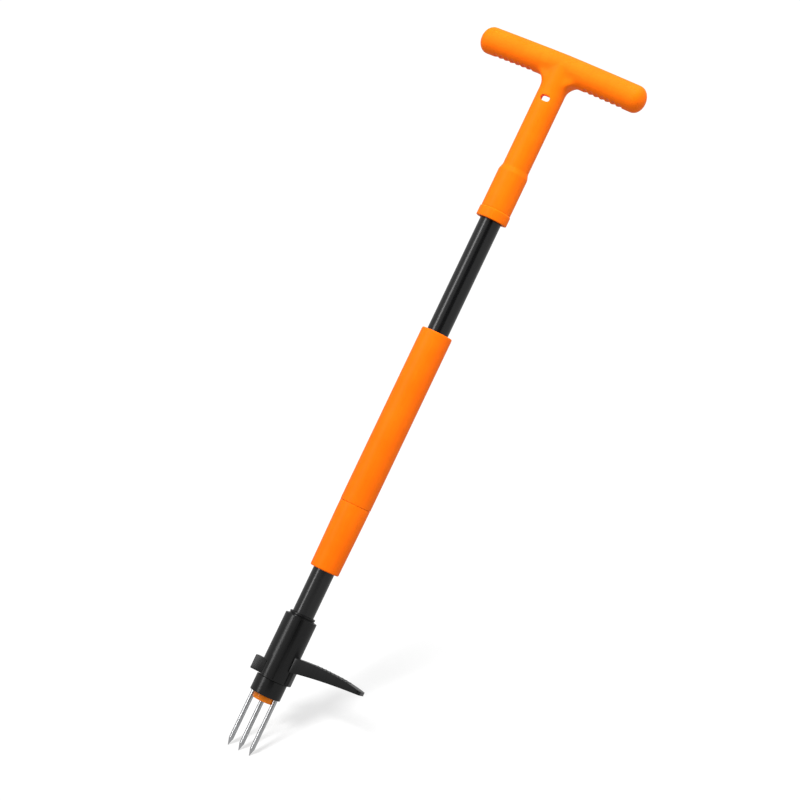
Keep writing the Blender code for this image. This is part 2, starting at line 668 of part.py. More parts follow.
def pedal_housing():
    """The outer moulding: barrel, boss and pedal in one, notched for the lock button."""
    housing = turned("pedal_housing", [
        (0.0, HOUSING_Z), (HOUSING_RADIUS - HOUSING_EDGE, HOUSING_Z),
        (HOUSING_RADIUS, HOUSING_Z + HOUSING_EDGE),
        (HOUSING_TOP_RADIUS, HOUSING_TOP - HOUSING_EDGE),
        (HOUSING_TOP_RADIUS - HOUSING_EDGE, HOUSING_TOP), (0.0, HOUSING_TOP),
    ], base=HOUSING_Z)
    join(housing,
         block("join_boss", (HOUSING_BORE / 2, -BOSS_HALF_WIDTH, HOUSING_Z),
               (BOSS_REACH, BOSS_HALF_WIDTH, HOUSING_Z + BOSS_HEIGHT), BOSS_EDGE),
         pedal_blade())
    width = BUTTON_HALF_WIDTH + BUTTON_GAP
    catch_top = BUTTON_TOP + LIP_RISE + BUTTON_GAP
    screw_z = HOUSING_Z + HEAD_SCREW_RAISE
    cut(housing,
        rod("cut_housing_bore", HOUSING_BORE, (0, 0, HOUSING_Z - MM), (0, 0, HOUSING_TOP + MM),
            TURN_STEPS),
        button_notch(width),
        block("cut_button_catch", (CATCH_X - BUTTON_GAP, -width, BUTTON_Z),
              (-HOUSING_BORE / 2, width, catch_top)),
        *back_screw_cuts("head_screw", screw_z, housing_radius_at(screw_z)))
    return dress(housing, "black_plastic")


def tine_holder():
    """The collar and stem that hold the tines, guide the legs and carry the lock button."""
    holder = turned("tine_holder", [
        (0.0, HOLDER_Z), (HOLDER_RADIUS - HOUSING_EDGE, HOLDER_Z),
        (HOLDER_RADIUS, HOLDER_Z + HOUSING_EDGE), (HOLDER_RADIUS, SPIGOT_Z),
        (CORE_RADIUS, SPIGOT_Z), (CORE_RADIUS, SPIGOT_TOP), (0.0, SPIGOT_TOP),
    ], base=HOLDER_Z)
    holes = [rod(f"cut_holder_{name}", TINE_RADIUS + GAP, (x, 0, HOLDER_Z - MM),
                 (x, 0, HOLDER_Z + TINE_SEAT + GAP)) for name, x in tine_places()]
    holes += [rod(f"cut_holder_leg_{place}", LEG_RADIUS + SLIDE_GAP,
                  (0, y, HOLDER_Z - MM), (0, y, SPIGOT_TOP + MM)) for place, y in leg_places()]
    width = FLANGE_HALF_WIDTH + BUTTON_GAP
    cut(holder, *holes,
        block("cut_holder_pocket", (-CORE_RADIUS - MM, -width, BUTTON_Z - BUTTON_GAP),
              (POCKET_X, width, BUTTON_TOP + LIP_RISE + BUTTON_GAP)),
        rod("cut_holder_spring", LOCK_COIL_RADIUS + LOCK_WIRE_RADIUS + BUTTON_GAP,
            (POCKET_X - MM, 0, BUTTON_MID), (LOCK_SPRING_END_X + GAP, 0, BUTTON_MID)))
    return dress(holder, "black_plastic")


# Lock button

def lock_button(group):
    """The square button with its catch, its flange inside the housing and its spring post."""
    half = BUTTON_HALF_WIDTH
    button = block("lock_button", (-BUTTON_REACH, -half, BUTTON_Z),
                   (FLANGE_BACK_X - 0.2 * MM, half, BUTTON_TOP), BUTTON_EDGE)
    join(button,
         block("join_flange", (FLANGE_X, -FLANGE_HALF_WIDTH, BUTTON_Z),
               (FLANGE_BACK_X, FLANGE_HALF_WIDTH, BUTTON_TOP + LIP_RISE)),
         block("join_catch", (CATCH_X, -half + GAP, BUTTON_TOP - 2 * MM),
               (FLANGE_X + MM, half - GAP, BUTTON_TOP + LIP_RISE - GAP)),
         rod("join_post", POST_RADIUS, (FLANGE_X, 0, BUTTON_MID),
             (FLANGE_BACK_X + POST_LENGTH, 0, BUTTON_MID), SMALL_STEPS))
    return dress(button, "black_plastic", group)


def lock_spring(group):
    """The small coil that pushes the button out."""
    spring = coil("lock_spring", (FLANGE_BACK_X + GAP, 0, BUTTON_MID),
                  (LOCK_SPRING_END_X, 0, BUTTON_MID), LOCK_COIL_RADIUS, LOCK_WIRE_RADIUS,
                  LOCK_TURNS)
    return dress(spring, "zinc_steel", group)


# T-handle

def bar_drop(x):
    """How much lower the bar's axis is at that distance from the middle."""
    return BAR_DROP * (abs(x) / BAR_HALF_LENGTH) ** 1.4


def handle_bar():
    """The cross bar, a turned bar with rounded noses, laid along X and bowed a little."""
    straight = BAR_HALF_LENGTH - BAR_NOSE
    angles = [math.radians(90 * n / (2 * ARC_STEPS)) for n in range(2 * ARC_STEPS + 1)]
    nose = [(BAR_RADIUS * math.cos(t), straight + BAR_NOSE * math.sin(t)) for t in angles]
    nose[-1] = (0.0, BAR_HALF_LENGTH)
    rings = [(BAR_RADIUS, z) for z in spread(-straight, straight, BAR_RINGS)[1:-1]]
    outline = [(r, -z) for r, z in reversed(nose)] + rings + nose
    bar = turned("join_bar", outline)
    bar.data.transform(Matrix.Rotation(math.pi / 2, 4, "Y"))
    for vert in bar.data.vertices:
        vert.co.z -= bar_drop(vert.co.x)
    bar.location.z = BAR_Z
    return bar


def handle_fillets():
    """The web that rounds the corners between neck and bar."""
    top = BAR_Z - BAR_RADIUS / 2
    corner_x = NECK_RADIUS + FILLET
    corner_z = BAR_Z - BAR_RADIUS - FILLET
    right = arc((corner_x, corner_z), FILLET, 180, 90, 2 * ARC_STEPS)
    right = [(NECK_RADIUS - 2 * MM, corner_z)] + right + [(corner_x, top)]
    left = [(-x, z) for x, z in reversed(right)]
    return extruded("join_fillets", right + left, FILLET_HALF_WIDTH)


def grip_teeth():
    """The row of round bars that cut the grip teeth into the bar's underside."""
    bm = bmesh.new()
    low = BAR_Z - BAR_RADIUS - TOOTH_RADIUS + TOOTH_DEPTH
    for side in (-1, 1):
        for n in range(TEETH):
            x = side * (TEETH_START + TEETH_PITCH * n)
            place = Matrix.Translation((x, 0, low - bar_drop(x)))
            bmesh.ops.create_cone(bm, cap_ends=True, segments=8, radius1=TOOTH_RADIUS,
                                  radius2=TOOTH_RADIUS, depth=2 * BAR_RADIUS,
                                  matrix=place @ Matrix.Rotation(math.pi / 2, 4, "X"))
    return add_mesh("cut_grip_teeth", bm)


def hang_hole():
    """The oblong hole through the neck."""
    hole_z = BAR_Z - HANG_DROP
    run = HANG_HALF_WIDTH - HANG_RADIUS
    outline = arc((run, hole_z), HANG_RADIUS, -90, 90, 2 * ARC_STEPS)
    outline += arc((-run, hole_z), HANG_RADIUS, 90, 270, 2 * ARC_STEPS)
    return extruded("cut_hang_hole", outline, NECK_RADIUS + MM)


def coring_pocket():
    """The pocket that thins the neck's wall behind the hang hole."""
    hole_z = BAR_Z - HANG_DROP
    return block("cut_pocket", (-POCKET_HALF_WIDTH, POCKET_WALL - NECK_RADIUS,
                                hole_z - POCKET_HALF_HEIGHT),
                 (POCKET_HALF_WIDTH, NECK_RADIUS + 4 * MM, hole_z + POCKET_HALF_HEIGHT),
                 POCKET_EDGE)


def t_handle():
    """The whole handle: neck with its socket, bead and collar, the bar and its grip teeth."""
    collar_z = HANDLE_Z + COLLAR_HEIGHT
    mouth = SOCKET_RADIUS + MOUTH_RADIUS_STEP
    edge = 1.2 * MM
    outline = [(0.0, HANDLE_Z + SOCKET_DEPTH), (SOCKET_RADIUS, HANDLE_Z + SOCKET_DEPTH),
               (SOCKET_RADIUS, HANDLE_Z + MOUTH_DEPTH), (mouth, HANDLE_Z + MOUTH_DEPTH),
               (mouth, HANDLE_Z)]
    outline += arc((BEAD_RADIUS - edge, HANDLE_Z + edge), edge, -90, 0, 3)
    outline += [
        (BEAD_RADIUS, HANDLE_Z + BEAD_HEIGHT - BEAD_STEP), (COLLAR_RADIUS, HANDLE_Z + BEAD_HEIGHT),
        (COLLAR_RADIUS, collar_z), (NECK_RADIUS, collar_z + COLLAR_SLOPE),
        (NECK_RADIUS, BAR_Z), (0.0, BAR_Z),
    ]
    handle = turned("t_handle", outline, base=HANDLE_Z)
    screw_z = HANDLE_Z + HANDLE_SCREW_RAISE
    join(handle, handle_bar(), handle_fillets())
    cut(handle, grip_teeth(), hang_hole(), coring_pocket(),
        *back_screw_cuts("handle_screw", screw_z, NECK_RADIUS))
    return dress(handle, "orange")


def build():
    """Make every piece of the tool."""
    clear_scene()
    ejector = add_empty("ejector_axis", (0.0, 0.0, SLEEVE_Z))
    latch = add_empty("latch_axis", (-HOUSING_RADIUS, 0.0, BUTTON_MID))

    t_handle()
    back_screw("handle_screw", HANDLE_Z + HANDLE_SCREW_RAISE, NECK_RADIUS)
    shaft_tube()
    spring_stop()
    for place, side in SIDES:
        stop_screw(place, side)

    head_core()
    pedal_housing()
    screw_z = HOUSING_Z + HEAD_SCREW_RAISE
    back_screw("head_screw", screw_z, housing_radius_at(screw_z))
    tine_holder()
    for name, x in tine_places():
        tine(name, x)

    grip_sleeve(ejector)
    grip_ferrule(ejector)
    bush("upper_slide_bush", BUSH_RADIUS, SLEEVE_TOP - BUSH_INSET - BUSH_LENGTH, BUSH_LENGTH,
         ejector)
    bush("lower_slide_bush", FERRULE_BORE - GAP, SLEEVE_Z + BUSH_INSET, BUSH_LENGTH, ejector)
    pin_carrier(ejector)
    cross_pin(ejector)
    rod_head(ejector)
    push_rod(ejector)
    return_spring(ejector)
    ejector_yoke(ejector)
    for place, y in leg_places():
        ejector_leg(place, y, ejector)
    ejector_plate(ejector)

    lock_button(latch)
    lock_spring(latch)


build()
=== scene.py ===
"""Looks of the stand-up weed puller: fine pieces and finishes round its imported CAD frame.

Every piece that shows is modelled again here in finer detail, in the place that its CAD node
gives, and rides on the same body. The hidden mechanism keeps its CAD nodes and gets finishes.
Lengths are in metres, +Z runs up the shaft, the cross bar lies along X.
"""

import json
import logging
import math
from collections.abc import Callable, Iterator, Sequence
from contextlib import contextmanager
from dataclasses import dataclass
from enum import Enum
from typing import Any

import bmesh
import bpy
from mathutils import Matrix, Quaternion, Vector


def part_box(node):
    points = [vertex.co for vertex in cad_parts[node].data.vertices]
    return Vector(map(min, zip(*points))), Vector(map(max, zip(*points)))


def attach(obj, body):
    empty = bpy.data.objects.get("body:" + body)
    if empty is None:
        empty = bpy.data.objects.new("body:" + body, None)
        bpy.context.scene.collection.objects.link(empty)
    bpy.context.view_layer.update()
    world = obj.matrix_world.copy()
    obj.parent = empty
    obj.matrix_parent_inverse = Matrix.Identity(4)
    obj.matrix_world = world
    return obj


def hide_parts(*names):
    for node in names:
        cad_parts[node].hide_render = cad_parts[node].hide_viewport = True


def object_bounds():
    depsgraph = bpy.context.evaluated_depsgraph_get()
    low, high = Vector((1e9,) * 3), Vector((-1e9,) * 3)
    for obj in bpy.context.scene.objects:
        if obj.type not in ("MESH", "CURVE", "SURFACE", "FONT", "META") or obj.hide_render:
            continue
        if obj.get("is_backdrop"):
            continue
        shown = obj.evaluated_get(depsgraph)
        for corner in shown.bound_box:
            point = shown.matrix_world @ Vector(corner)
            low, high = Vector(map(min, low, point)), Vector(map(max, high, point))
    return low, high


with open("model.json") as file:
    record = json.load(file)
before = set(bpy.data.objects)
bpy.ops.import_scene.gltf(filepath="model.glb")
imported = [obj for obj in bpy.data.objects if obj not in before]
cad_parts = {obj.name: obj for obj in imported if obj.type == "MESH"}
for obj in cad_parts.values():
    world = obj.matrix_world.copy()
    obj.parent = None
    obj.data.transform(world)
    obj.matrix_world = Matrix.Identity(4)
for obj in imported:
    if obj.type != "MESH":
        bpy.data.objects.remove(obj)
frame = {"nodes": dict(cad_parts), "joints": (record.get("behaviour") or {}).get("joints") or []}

MM = 0.001
CLEAR = 2 * MM                   # how far a cutter reaches past what it cuts
log = logging.getLogger("weed_puller")

Colour = tuple[float, float, float]
Corner = tuple[float, ...]       # radius, height and, where it is rounded, the edge's size
Place = tuple[float, float, float]
Section = tuple[float, float, float, float]   # x, lowest z, highest z, half width


class Body(Enum):
    """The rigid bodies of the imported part."""

    FRAME = "frame"
    EJECTOR = "ejector"
    LATCH = "latch"


class Slot(Enum):
    """The record's material slots."""

    ORANGE_MOULDING = "orange_moulding"
    ORANGE_GRIP = "orange_grip"
    ORANGE_PLATE = "orange_plate"
    BLACK_MOULDING = "black_moulding"
    BLACK_PAINT = "black_paint"
    TINE_STEEL = "tine_steel"
    ZINC_STEEL = "zinc_steel"
    PALE_NYLON = "pale_nylon"


class Join(Enum):
    """What a Boolean does with its tools."""

    CUT = "DIFFERENCE"
    ADD = "UNION"
    SHARE = "INTERSECT"


# Shader maths and finishes

class Value:
    """A number socket that Python's operators work on."""

    def __init__(self, graph: "Graph", socket: bpy.types.NodeSocket) -> None:
        """Wrap a socket of a graph."""
        self.graph = graph
        self.socket = socket

    def maths(self, operation: str, *terms: Any) -> "Value":
        """Add a Math node.

        Args:
            operation: The node's operation.
            terms: Its inputs, as values or numbers.

        Returns:
            The node's result.
        """
        node = self.graph.node("ShaderNodeMath", {"operation": operation},
                               dict(enumerate(terms)))
        return Value(self.graph, node.outputs[0])

    def __add__(self, other: Any) -> "Value":
        """Sum."""
        return self.maths("ADD", self, other)

    def __mul__(self, other: Any) -> "Value":
        """Product."""
        return self.maths("MULTIPLY", self, other)

    def __sub__(self, other: Any) -> "Value":
        """Difference."""
        return self.maths("SUBTRACT", self, other)

    def __rsub__(self, other: Any) -> "Value":
        """Difference from a number on the left."""
        return self.maths("SUBTRACT", other, self)

    def __truediv__(self, other: Any) -> "Value":
        """Quotient."""
        return self.maths("DIVIDE", self, other)

    def __abs__(self) -> "Value":
        """Size without its sign."""
        return self.maths("ABSOLUTE", self)

    __radd__ = __add__
    __rmul__ = __mul__

    def ramp(self, low: float, high: float) -> "Value":
        """A soft step from 0 at low to 1 at high.

        Args:
            low: Where the step starts.
            high: Where it ends; it may be the smaller number.

        Returns:
            The stepped value.
        """
        settings = {"interpolation_type": "SMOOTHSTEP"}
        if low > high:
            return 1 - self.ramp(high, low)
        node = self.graph.node("ShaderNodeMapRange", settings,
                               {"Value": self, "From Min": low, "From Max": high})
        return Value(self.graph, node.outputs["Result"])


class Graph:
    """The nodes of one material, built round its Principled shader."""

    def __init__(self, name: str) -> None:
        """Start an empty material of that name."""
        self.material = bpy.data.materials.new(name)
        self.material.use_nodes = True
        self.tree = self.material.node_tree
        self.shader = self.tree.nodes["Principled BSDF"]
        self.place = self.node("ShaderNodeTexCoord").outputs["Object"]

    def node(self, kind: str, settings: dict[str, Any] | None = None,
             inputs: dict[Any, Any] | None = None) -> bpy.types.Node:
        """Add any node.

        Args:
            kind: The node's type.
            settings: What is set on the node itself, before its sockets.
            inputs: Numbers, colours or links, by the socket's name or number.

        Returns:
            The new node.
        """
        node = self.tree.nodes.new(kind)
        for name, setting in (settings or {}).items():
            setattr(node, name, setting)
        self.feed(node, inputs or {})
        return node

    def feed(self, node: bpy.types.Node, inputs: dict[Any, Any]) -> None:
        """Set or link a node's sockets.

        Args:
            node: The node whose sockets are fed.
            inputs: Numbers, colours, sockets or values, by the socket's name or number.
        """
        for name, given in inputs.items():
            source = given.socket if isinstance(given, Value) else given
            if isinstance(source, bpy.types.NodeSocket):
                self.tree.links.new(source, node.inputs[name])
            else:
                node.inputs[name].default_value = source

    def axes(self) -> tuple[Value, Value, Value]:
        """The place along X, Y and Z."""
        parts = self.node("ShaderNodeSeparateXYZ", inputs={0: self.place})
        return tuple(Value(self, out) for out in parts.outputs)

    def noise(self, size: float, stretch: Place = (1, 1, 1), detail: float = 2.0) -> Value:
        """Noise whose features are about that size.

        Args:
            size: Length of a feature.
            stretch: How many times longer the features are along each axis.
            detail: The noise's levels of detail.

        Returns:
            Its value, 0 to 1.
        """
        scale = tuple(1 / (size * part) for part in stretch)
        spread = self.node("ShaderNodeMapping", inputs={"Vector": self.place, "Scale": scale})
        node = self.node("ShaderNodeTexNoise", inputs={
            "Vector": spread.outputs[0], "Scale": 1.0, "Detail": detail, "Roughness": 0.55})
        return Value(self, node.outputs[0])

    def cells(self, size: float) -> Value:
        """Flat cells of random value, each about that size.

        Args:
            size: Width of a cell.

        Returns:
            One value to a cell, 0 to 1.
        """
        node = self.node("ShaderNodeTexVoronoi", inputs={"Vector": self.place,
                                                         "Scale": 1 / size})
        grey = self.node("ShaderNodeRGBToBW", inputs={0: node.outputs["Color"]})
        return Value(self, grey.outputs[0])

    def mix(self, share: Value, first: Colour, second: Any) -> bpy.types.NodeSocket:
        """Blend two colours.

        Args:
            share: How much of the second colour shows.
            first: A colour or a colour socket.
            second: A colour.

        Returns:
            The blended colour's socket.
        """
        def rgba(colour: Any) -> Any:
            """A colour as a socket takes it."""
            return (*colour, 1.0) if isinstance(colour, tuple) else colour

        node = self.node("ShaderNodeMix", {"data_type": "RGBA"},
                         {"Factor": share, 6: rgba(first), 7: rgba(second)})
        return node.outputs[2]

    def relief(self, *layers: tuple[Value, float]) -> bpy.types.NodeSocket:
        """Bump the surface.

        Args:
            layers: Each layer's value with its height in metres.

        Returns:
            The normal's socket.
        """
        height = sum(value * (depth / MM) for value, depth in layers)
        node = self.node("ShaderNodeBump", inputs={"Strength": 1.0, "Distance": MM,
                                                   "Height": height})
        return node.outputs[0]

    def surface(self, inputs: dict[str, Any]) -> bpy.types.Material:
        """Feed the shader and hand over the finished material."""
        self.feed(self.shader, inputs)
        return self.material


@dataclass(frozen=True)
class Moulding:
    """Injection-moulded plastic with a fine eroded grain, flow marks and light scuffs."""

    name: str
    slot: Slot
    colour: Colour
    deep: Colour
    roughness: float
    grain: float = 0.012 * MM
    grain_size: float = 0.55 * MM
    sheen: float = 0.5
    parting_line: bool = False

    def build(self) -> bpy.types.Material:
        """Make the material."""
        graph = Graph(self.name)
        cloud = graph.noise(38 * MM)
        flow = graph.noise(5 * MM, (1, 1, 14))
        grain = graph.noise(self.grain_size, detail=3)
        scuff = graph.noise(2.4 * MM, (1, 1, 5), 4).ramp(0.66, 0.78)
        share = (cloud * 0.7 + flow * 0.3).ramp(0.35, 0.68)
        layers = [(grain, self.grain), (cloud, 0.04 * MM)]
        if self.parting_line:
            _, across, _ = graph.axes()
            seam = abs(across).ramp(0.26 * MM, 0.1 * MM)
            layers.append((seam, 0.05 * MM))
        return graph.surface({
            "Base Color": graph.mix(share, self.deep, self.colour),
            "Roughness": self.roughness + (flow - 0.5) * 0.10 + (grain - 0.5) * 0.08
            + scuff * 0.10,
            "Specular IOR Level": self.sheen,
            "Normal": graph.relief(*layers),
        })


@dataclass(frozen=True)
class GlossPaint:
    """Black stoved paint on a drawn tube, with a slight orange peel."""

    name: str = "black_tube_paint"
    slot: Slot = Slot.BLACK_PAINT
    colour: Colour = (0.0035, 0.0035, 0.0038)
    worn: Colour = (0.008, 0.008, 0.0085)

    def build(self) -> bpy.types.Material:
        """Make the material."""
        graph = Graph(self.name)
        peel = graph.noise(2.6 * MM, (1, 1, 1.6))
        drawn = graph.noise(0.9 * MM, (1, 1, 90))
        dust = graph.noise(0.7 * MM, detail=3).ramp(0.68, 0.74)
        rubbed = graph.noise(3 * MM, (1, 1, 22), 3).ramp(0.62, 0.80)
        return graph.surface({
            "Base Color": graph.mix(dust * 0.5 + rubbed * 0.5, self.colour, self.worn),
            "Roughness": 0.25 + (drawn - 0.5) * 0.03 + rubbed * 0.05 + dust * 0.05,
            "Coat Weight": 0.2 - rubbed * 0.1,
            "Coat Roughness": 0.16,
            "Normal": graph.relief((peel, 0.0020 * MM), (drawn, 0.0003 * MM)),
        })


@dataclass(frozen=True)
class GroundSteel:
    """Drawn tine steel, polished along its length and ground round at its points."""

    name: str = "polished_tine_steel"
    slot: Slot = Slot.TINE_STEEL
    bright: Colour = (0.66, 0.665, 0.675)
    dull: Colour = (0.50, 0.505, 0.515)
    cone: float = 9.8 * MM

    def build(self) -> bpy.types.Material:
        """Make the material."""
        graph = Graph(self.name)
        _, _, height = graph.axes()
        point = height.ramp(self.cone * 1.08, self.cone * 0.95)
        drawn = graph.noise(0.35 * MM, (1, 1, 60), 3)
        ground = graph.noise(0.22 * MM, (6, 6, 1), 2)
        stain = graph.noise(7 * MM, (1, 1, 2), 3).ramp(0.45, 0.75)
        marks = drawn * (1 - point) + ground * point
        return graph.surface({
            "Base Color": graph.mix(stain * 0.5 + (1 - marks) * 0.35, self.bright, self.dull),
            "Metallic": 1.0,
            "Roughness": 0.19 + marks * 0.05 + point * 0.10 + stain * 0.04,
            "Normal": graph.relief((marks, 0.0001 * MM)),
        })


@dataclass(frozen=True)
class ZincPlate:
    """Bright zinc plating with a faint spangle."""

    name: str = "zinc_plated_steel"
    slot: Slot = Slot.ZINC_STEEL
    bright: Colour = (0.60, 0.61, 0.63)
    dull: Colour = (0.42, 0.43, 0.45)

    def build(self) -> bpy.types.Material:
        """Make the material."""
        graph = Graph(self.name)
        spangle = graph.cells(1.1 * MM)
        cloud = graph.noise(4 * MM, detail=3)
        return graph.surface({
            "Base Color": graph.mix(spangle * 0.5 + cloud * 0.5, self.dull, self.bright),
            "Metallic": 1.0,
            "Roughness": 0.30 + cloud * 0.12 + spangle * 0.06,
            "Normal": graph.relief((cloud, 0.01 * MM)),
        })


@dataclass(frozen=True)
class Nylon:
    """Machined bearing nylon, cream, with turning marks."""

    name: str = "pale_bearing_nylon"
    slot: Slot = Slot.PALE_NYLON
    light: Colour = (0.66, 0.64, 0.58)
    dark: Colour = (0.52, 0.50, 0.44)

    def build(self) -> bpy.types.Material:
        """Make the material."""
        graph = Graph(self.name)
        turning = graph.noise(0.3 * MM, (30, 30, 1))
        cloud = graph.noise(6 * MM, detail=3)
        return graph.surface({
            "Base Color": graph.mix(cloud * 0.7 + turning * 0.3, self.dark, self.light),
            "Roughness": 0.42 + turning * 0.12,
            "Subsurface Weight": 0.08,
            "Normal": graph.relief((turning, 0.006 * MM)),
        })


HANDLE_ORANGE = Moulding("orange_handle_plastic", Slot.ORANGE_MOULDING, (0.98, 0.172, 0.002),
                         (0.95, 0.154, 0.001), 0.46, sheen=0.09, parting_line=True)
GRIP_ORANGE = Moulding("orange_grip_plastic", Slot.ORANGE_GRIP, (0.98, 0.166, 0.002),
                       (0.95, 0.148, 0.001), 0.44, sheen=0.09)
PLATE_ORANGE = Moulding("orange_plate_plastic", Slot.ORANGE_PLATE, (0.98, 0.25, 0.001),
                        (0.96, 0.22, 0.001), 0.22, grain=0.0008 * MM, sheen=0.3)
HEAD_BLACK = Moulding("black_head_plastic", Slot.BLACK_MOULDING, (0.0040, 0.0040, 0.0042),
                      (0.0028, 0.0028, 0.0030), 0.28, grain=0.002 * MM, sheen=0.4)
TUBE_PAINT = GlossPaint()
TINE_STEEL = GroundSteel()
ZINC = ZincPlate()
NYLON = Nylon()
Finish = Moulding | GlossPaint | GroundSteel | ZincPlate | Nylon


class Paintshop:
    """Makes each finish once and puts it on the pieces."""

    made: dict[str, bpy.types.Material] = {}

    @classmethod
    def material(cls, finish: Finish) -> bpy.types.Material:
        """The finish's material, made the first time that it is asked for."""
        if finish.name not in cls.made:
            cls.made[finish.name] = finish.build()
        return cls.made[finish.name]

    @classmethod
    def place(cls, piece: bpy.types.Object, body: Body, finish: Finish,
              *nodes: str) -> bpy.types.Object:
        """Dress a new piece, put it on its body and report it.

        Args:
            piece: The finished mesh object.
            body: The body that it rides on.
            finish: Its finish.
            nodes: The CAD nodes that it stands for.

        Returns:
            The piece.
        """
        piece.data.materials.clear()
        piece.data.materials.append(cls.material(finish))
        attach(piece, body.value)
        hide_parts(*nodes)
        piece.data.calc_loop_triangles()
        log.info("%s: %d triangles, rides on %s", piece.name, len(piece.data.loop_triangles),
                 body.value)
        return piece

    @classmethod
    def keep(cls, finish: Finish, *nodes: str) -> None:
        """Give CAD nodes that stay a finish.

        Args:
            finish: Their finish.
            nodes: Their names.
        """
        for name in nodes:
            for holder in frame["nodes"][name].material_slots:
                holder.material = cls.material(finish)
            log.info("%s: CAD node kept, in %s", name, finish.name)


# Modelling

def rounded(outline: Sequence[Corner], closed: bool, steps: int = 4) -> list[Corner]:
    """Round the corners of an outline that ask for it.

    Args:
        outline: The corners.
        closed: Whether the last corner joins the first.
        steps: Edges in a rounded corner.

    Returns:
        The (radius, height) points.
    """
    points: list[Corner] = []
    for n, corner in enumerate(outline):
        here = Vector(corner[:2])
        ends = not closed and n in (0, len(outline) - 1)
        if len(corner) < 3 or ends:
            points.append(tuple(here))
            continue
        before = Vector(outline[n - 1][:2]) - here
        after = Vector(outline[(n + 1) % len(outline)][:2]) - here
        start = here + before.normalized() * min(corner[2], before.length * 0.49)
        end = here + after.normalized() * min(corner[2], after.length * 0.49)
        for step in range(steps + 1):
            t = step / steps
            points.append(tuple(start * (1 - t) ** 2 + here * 2 * t * (1 - t) + end * t * t))
    return points


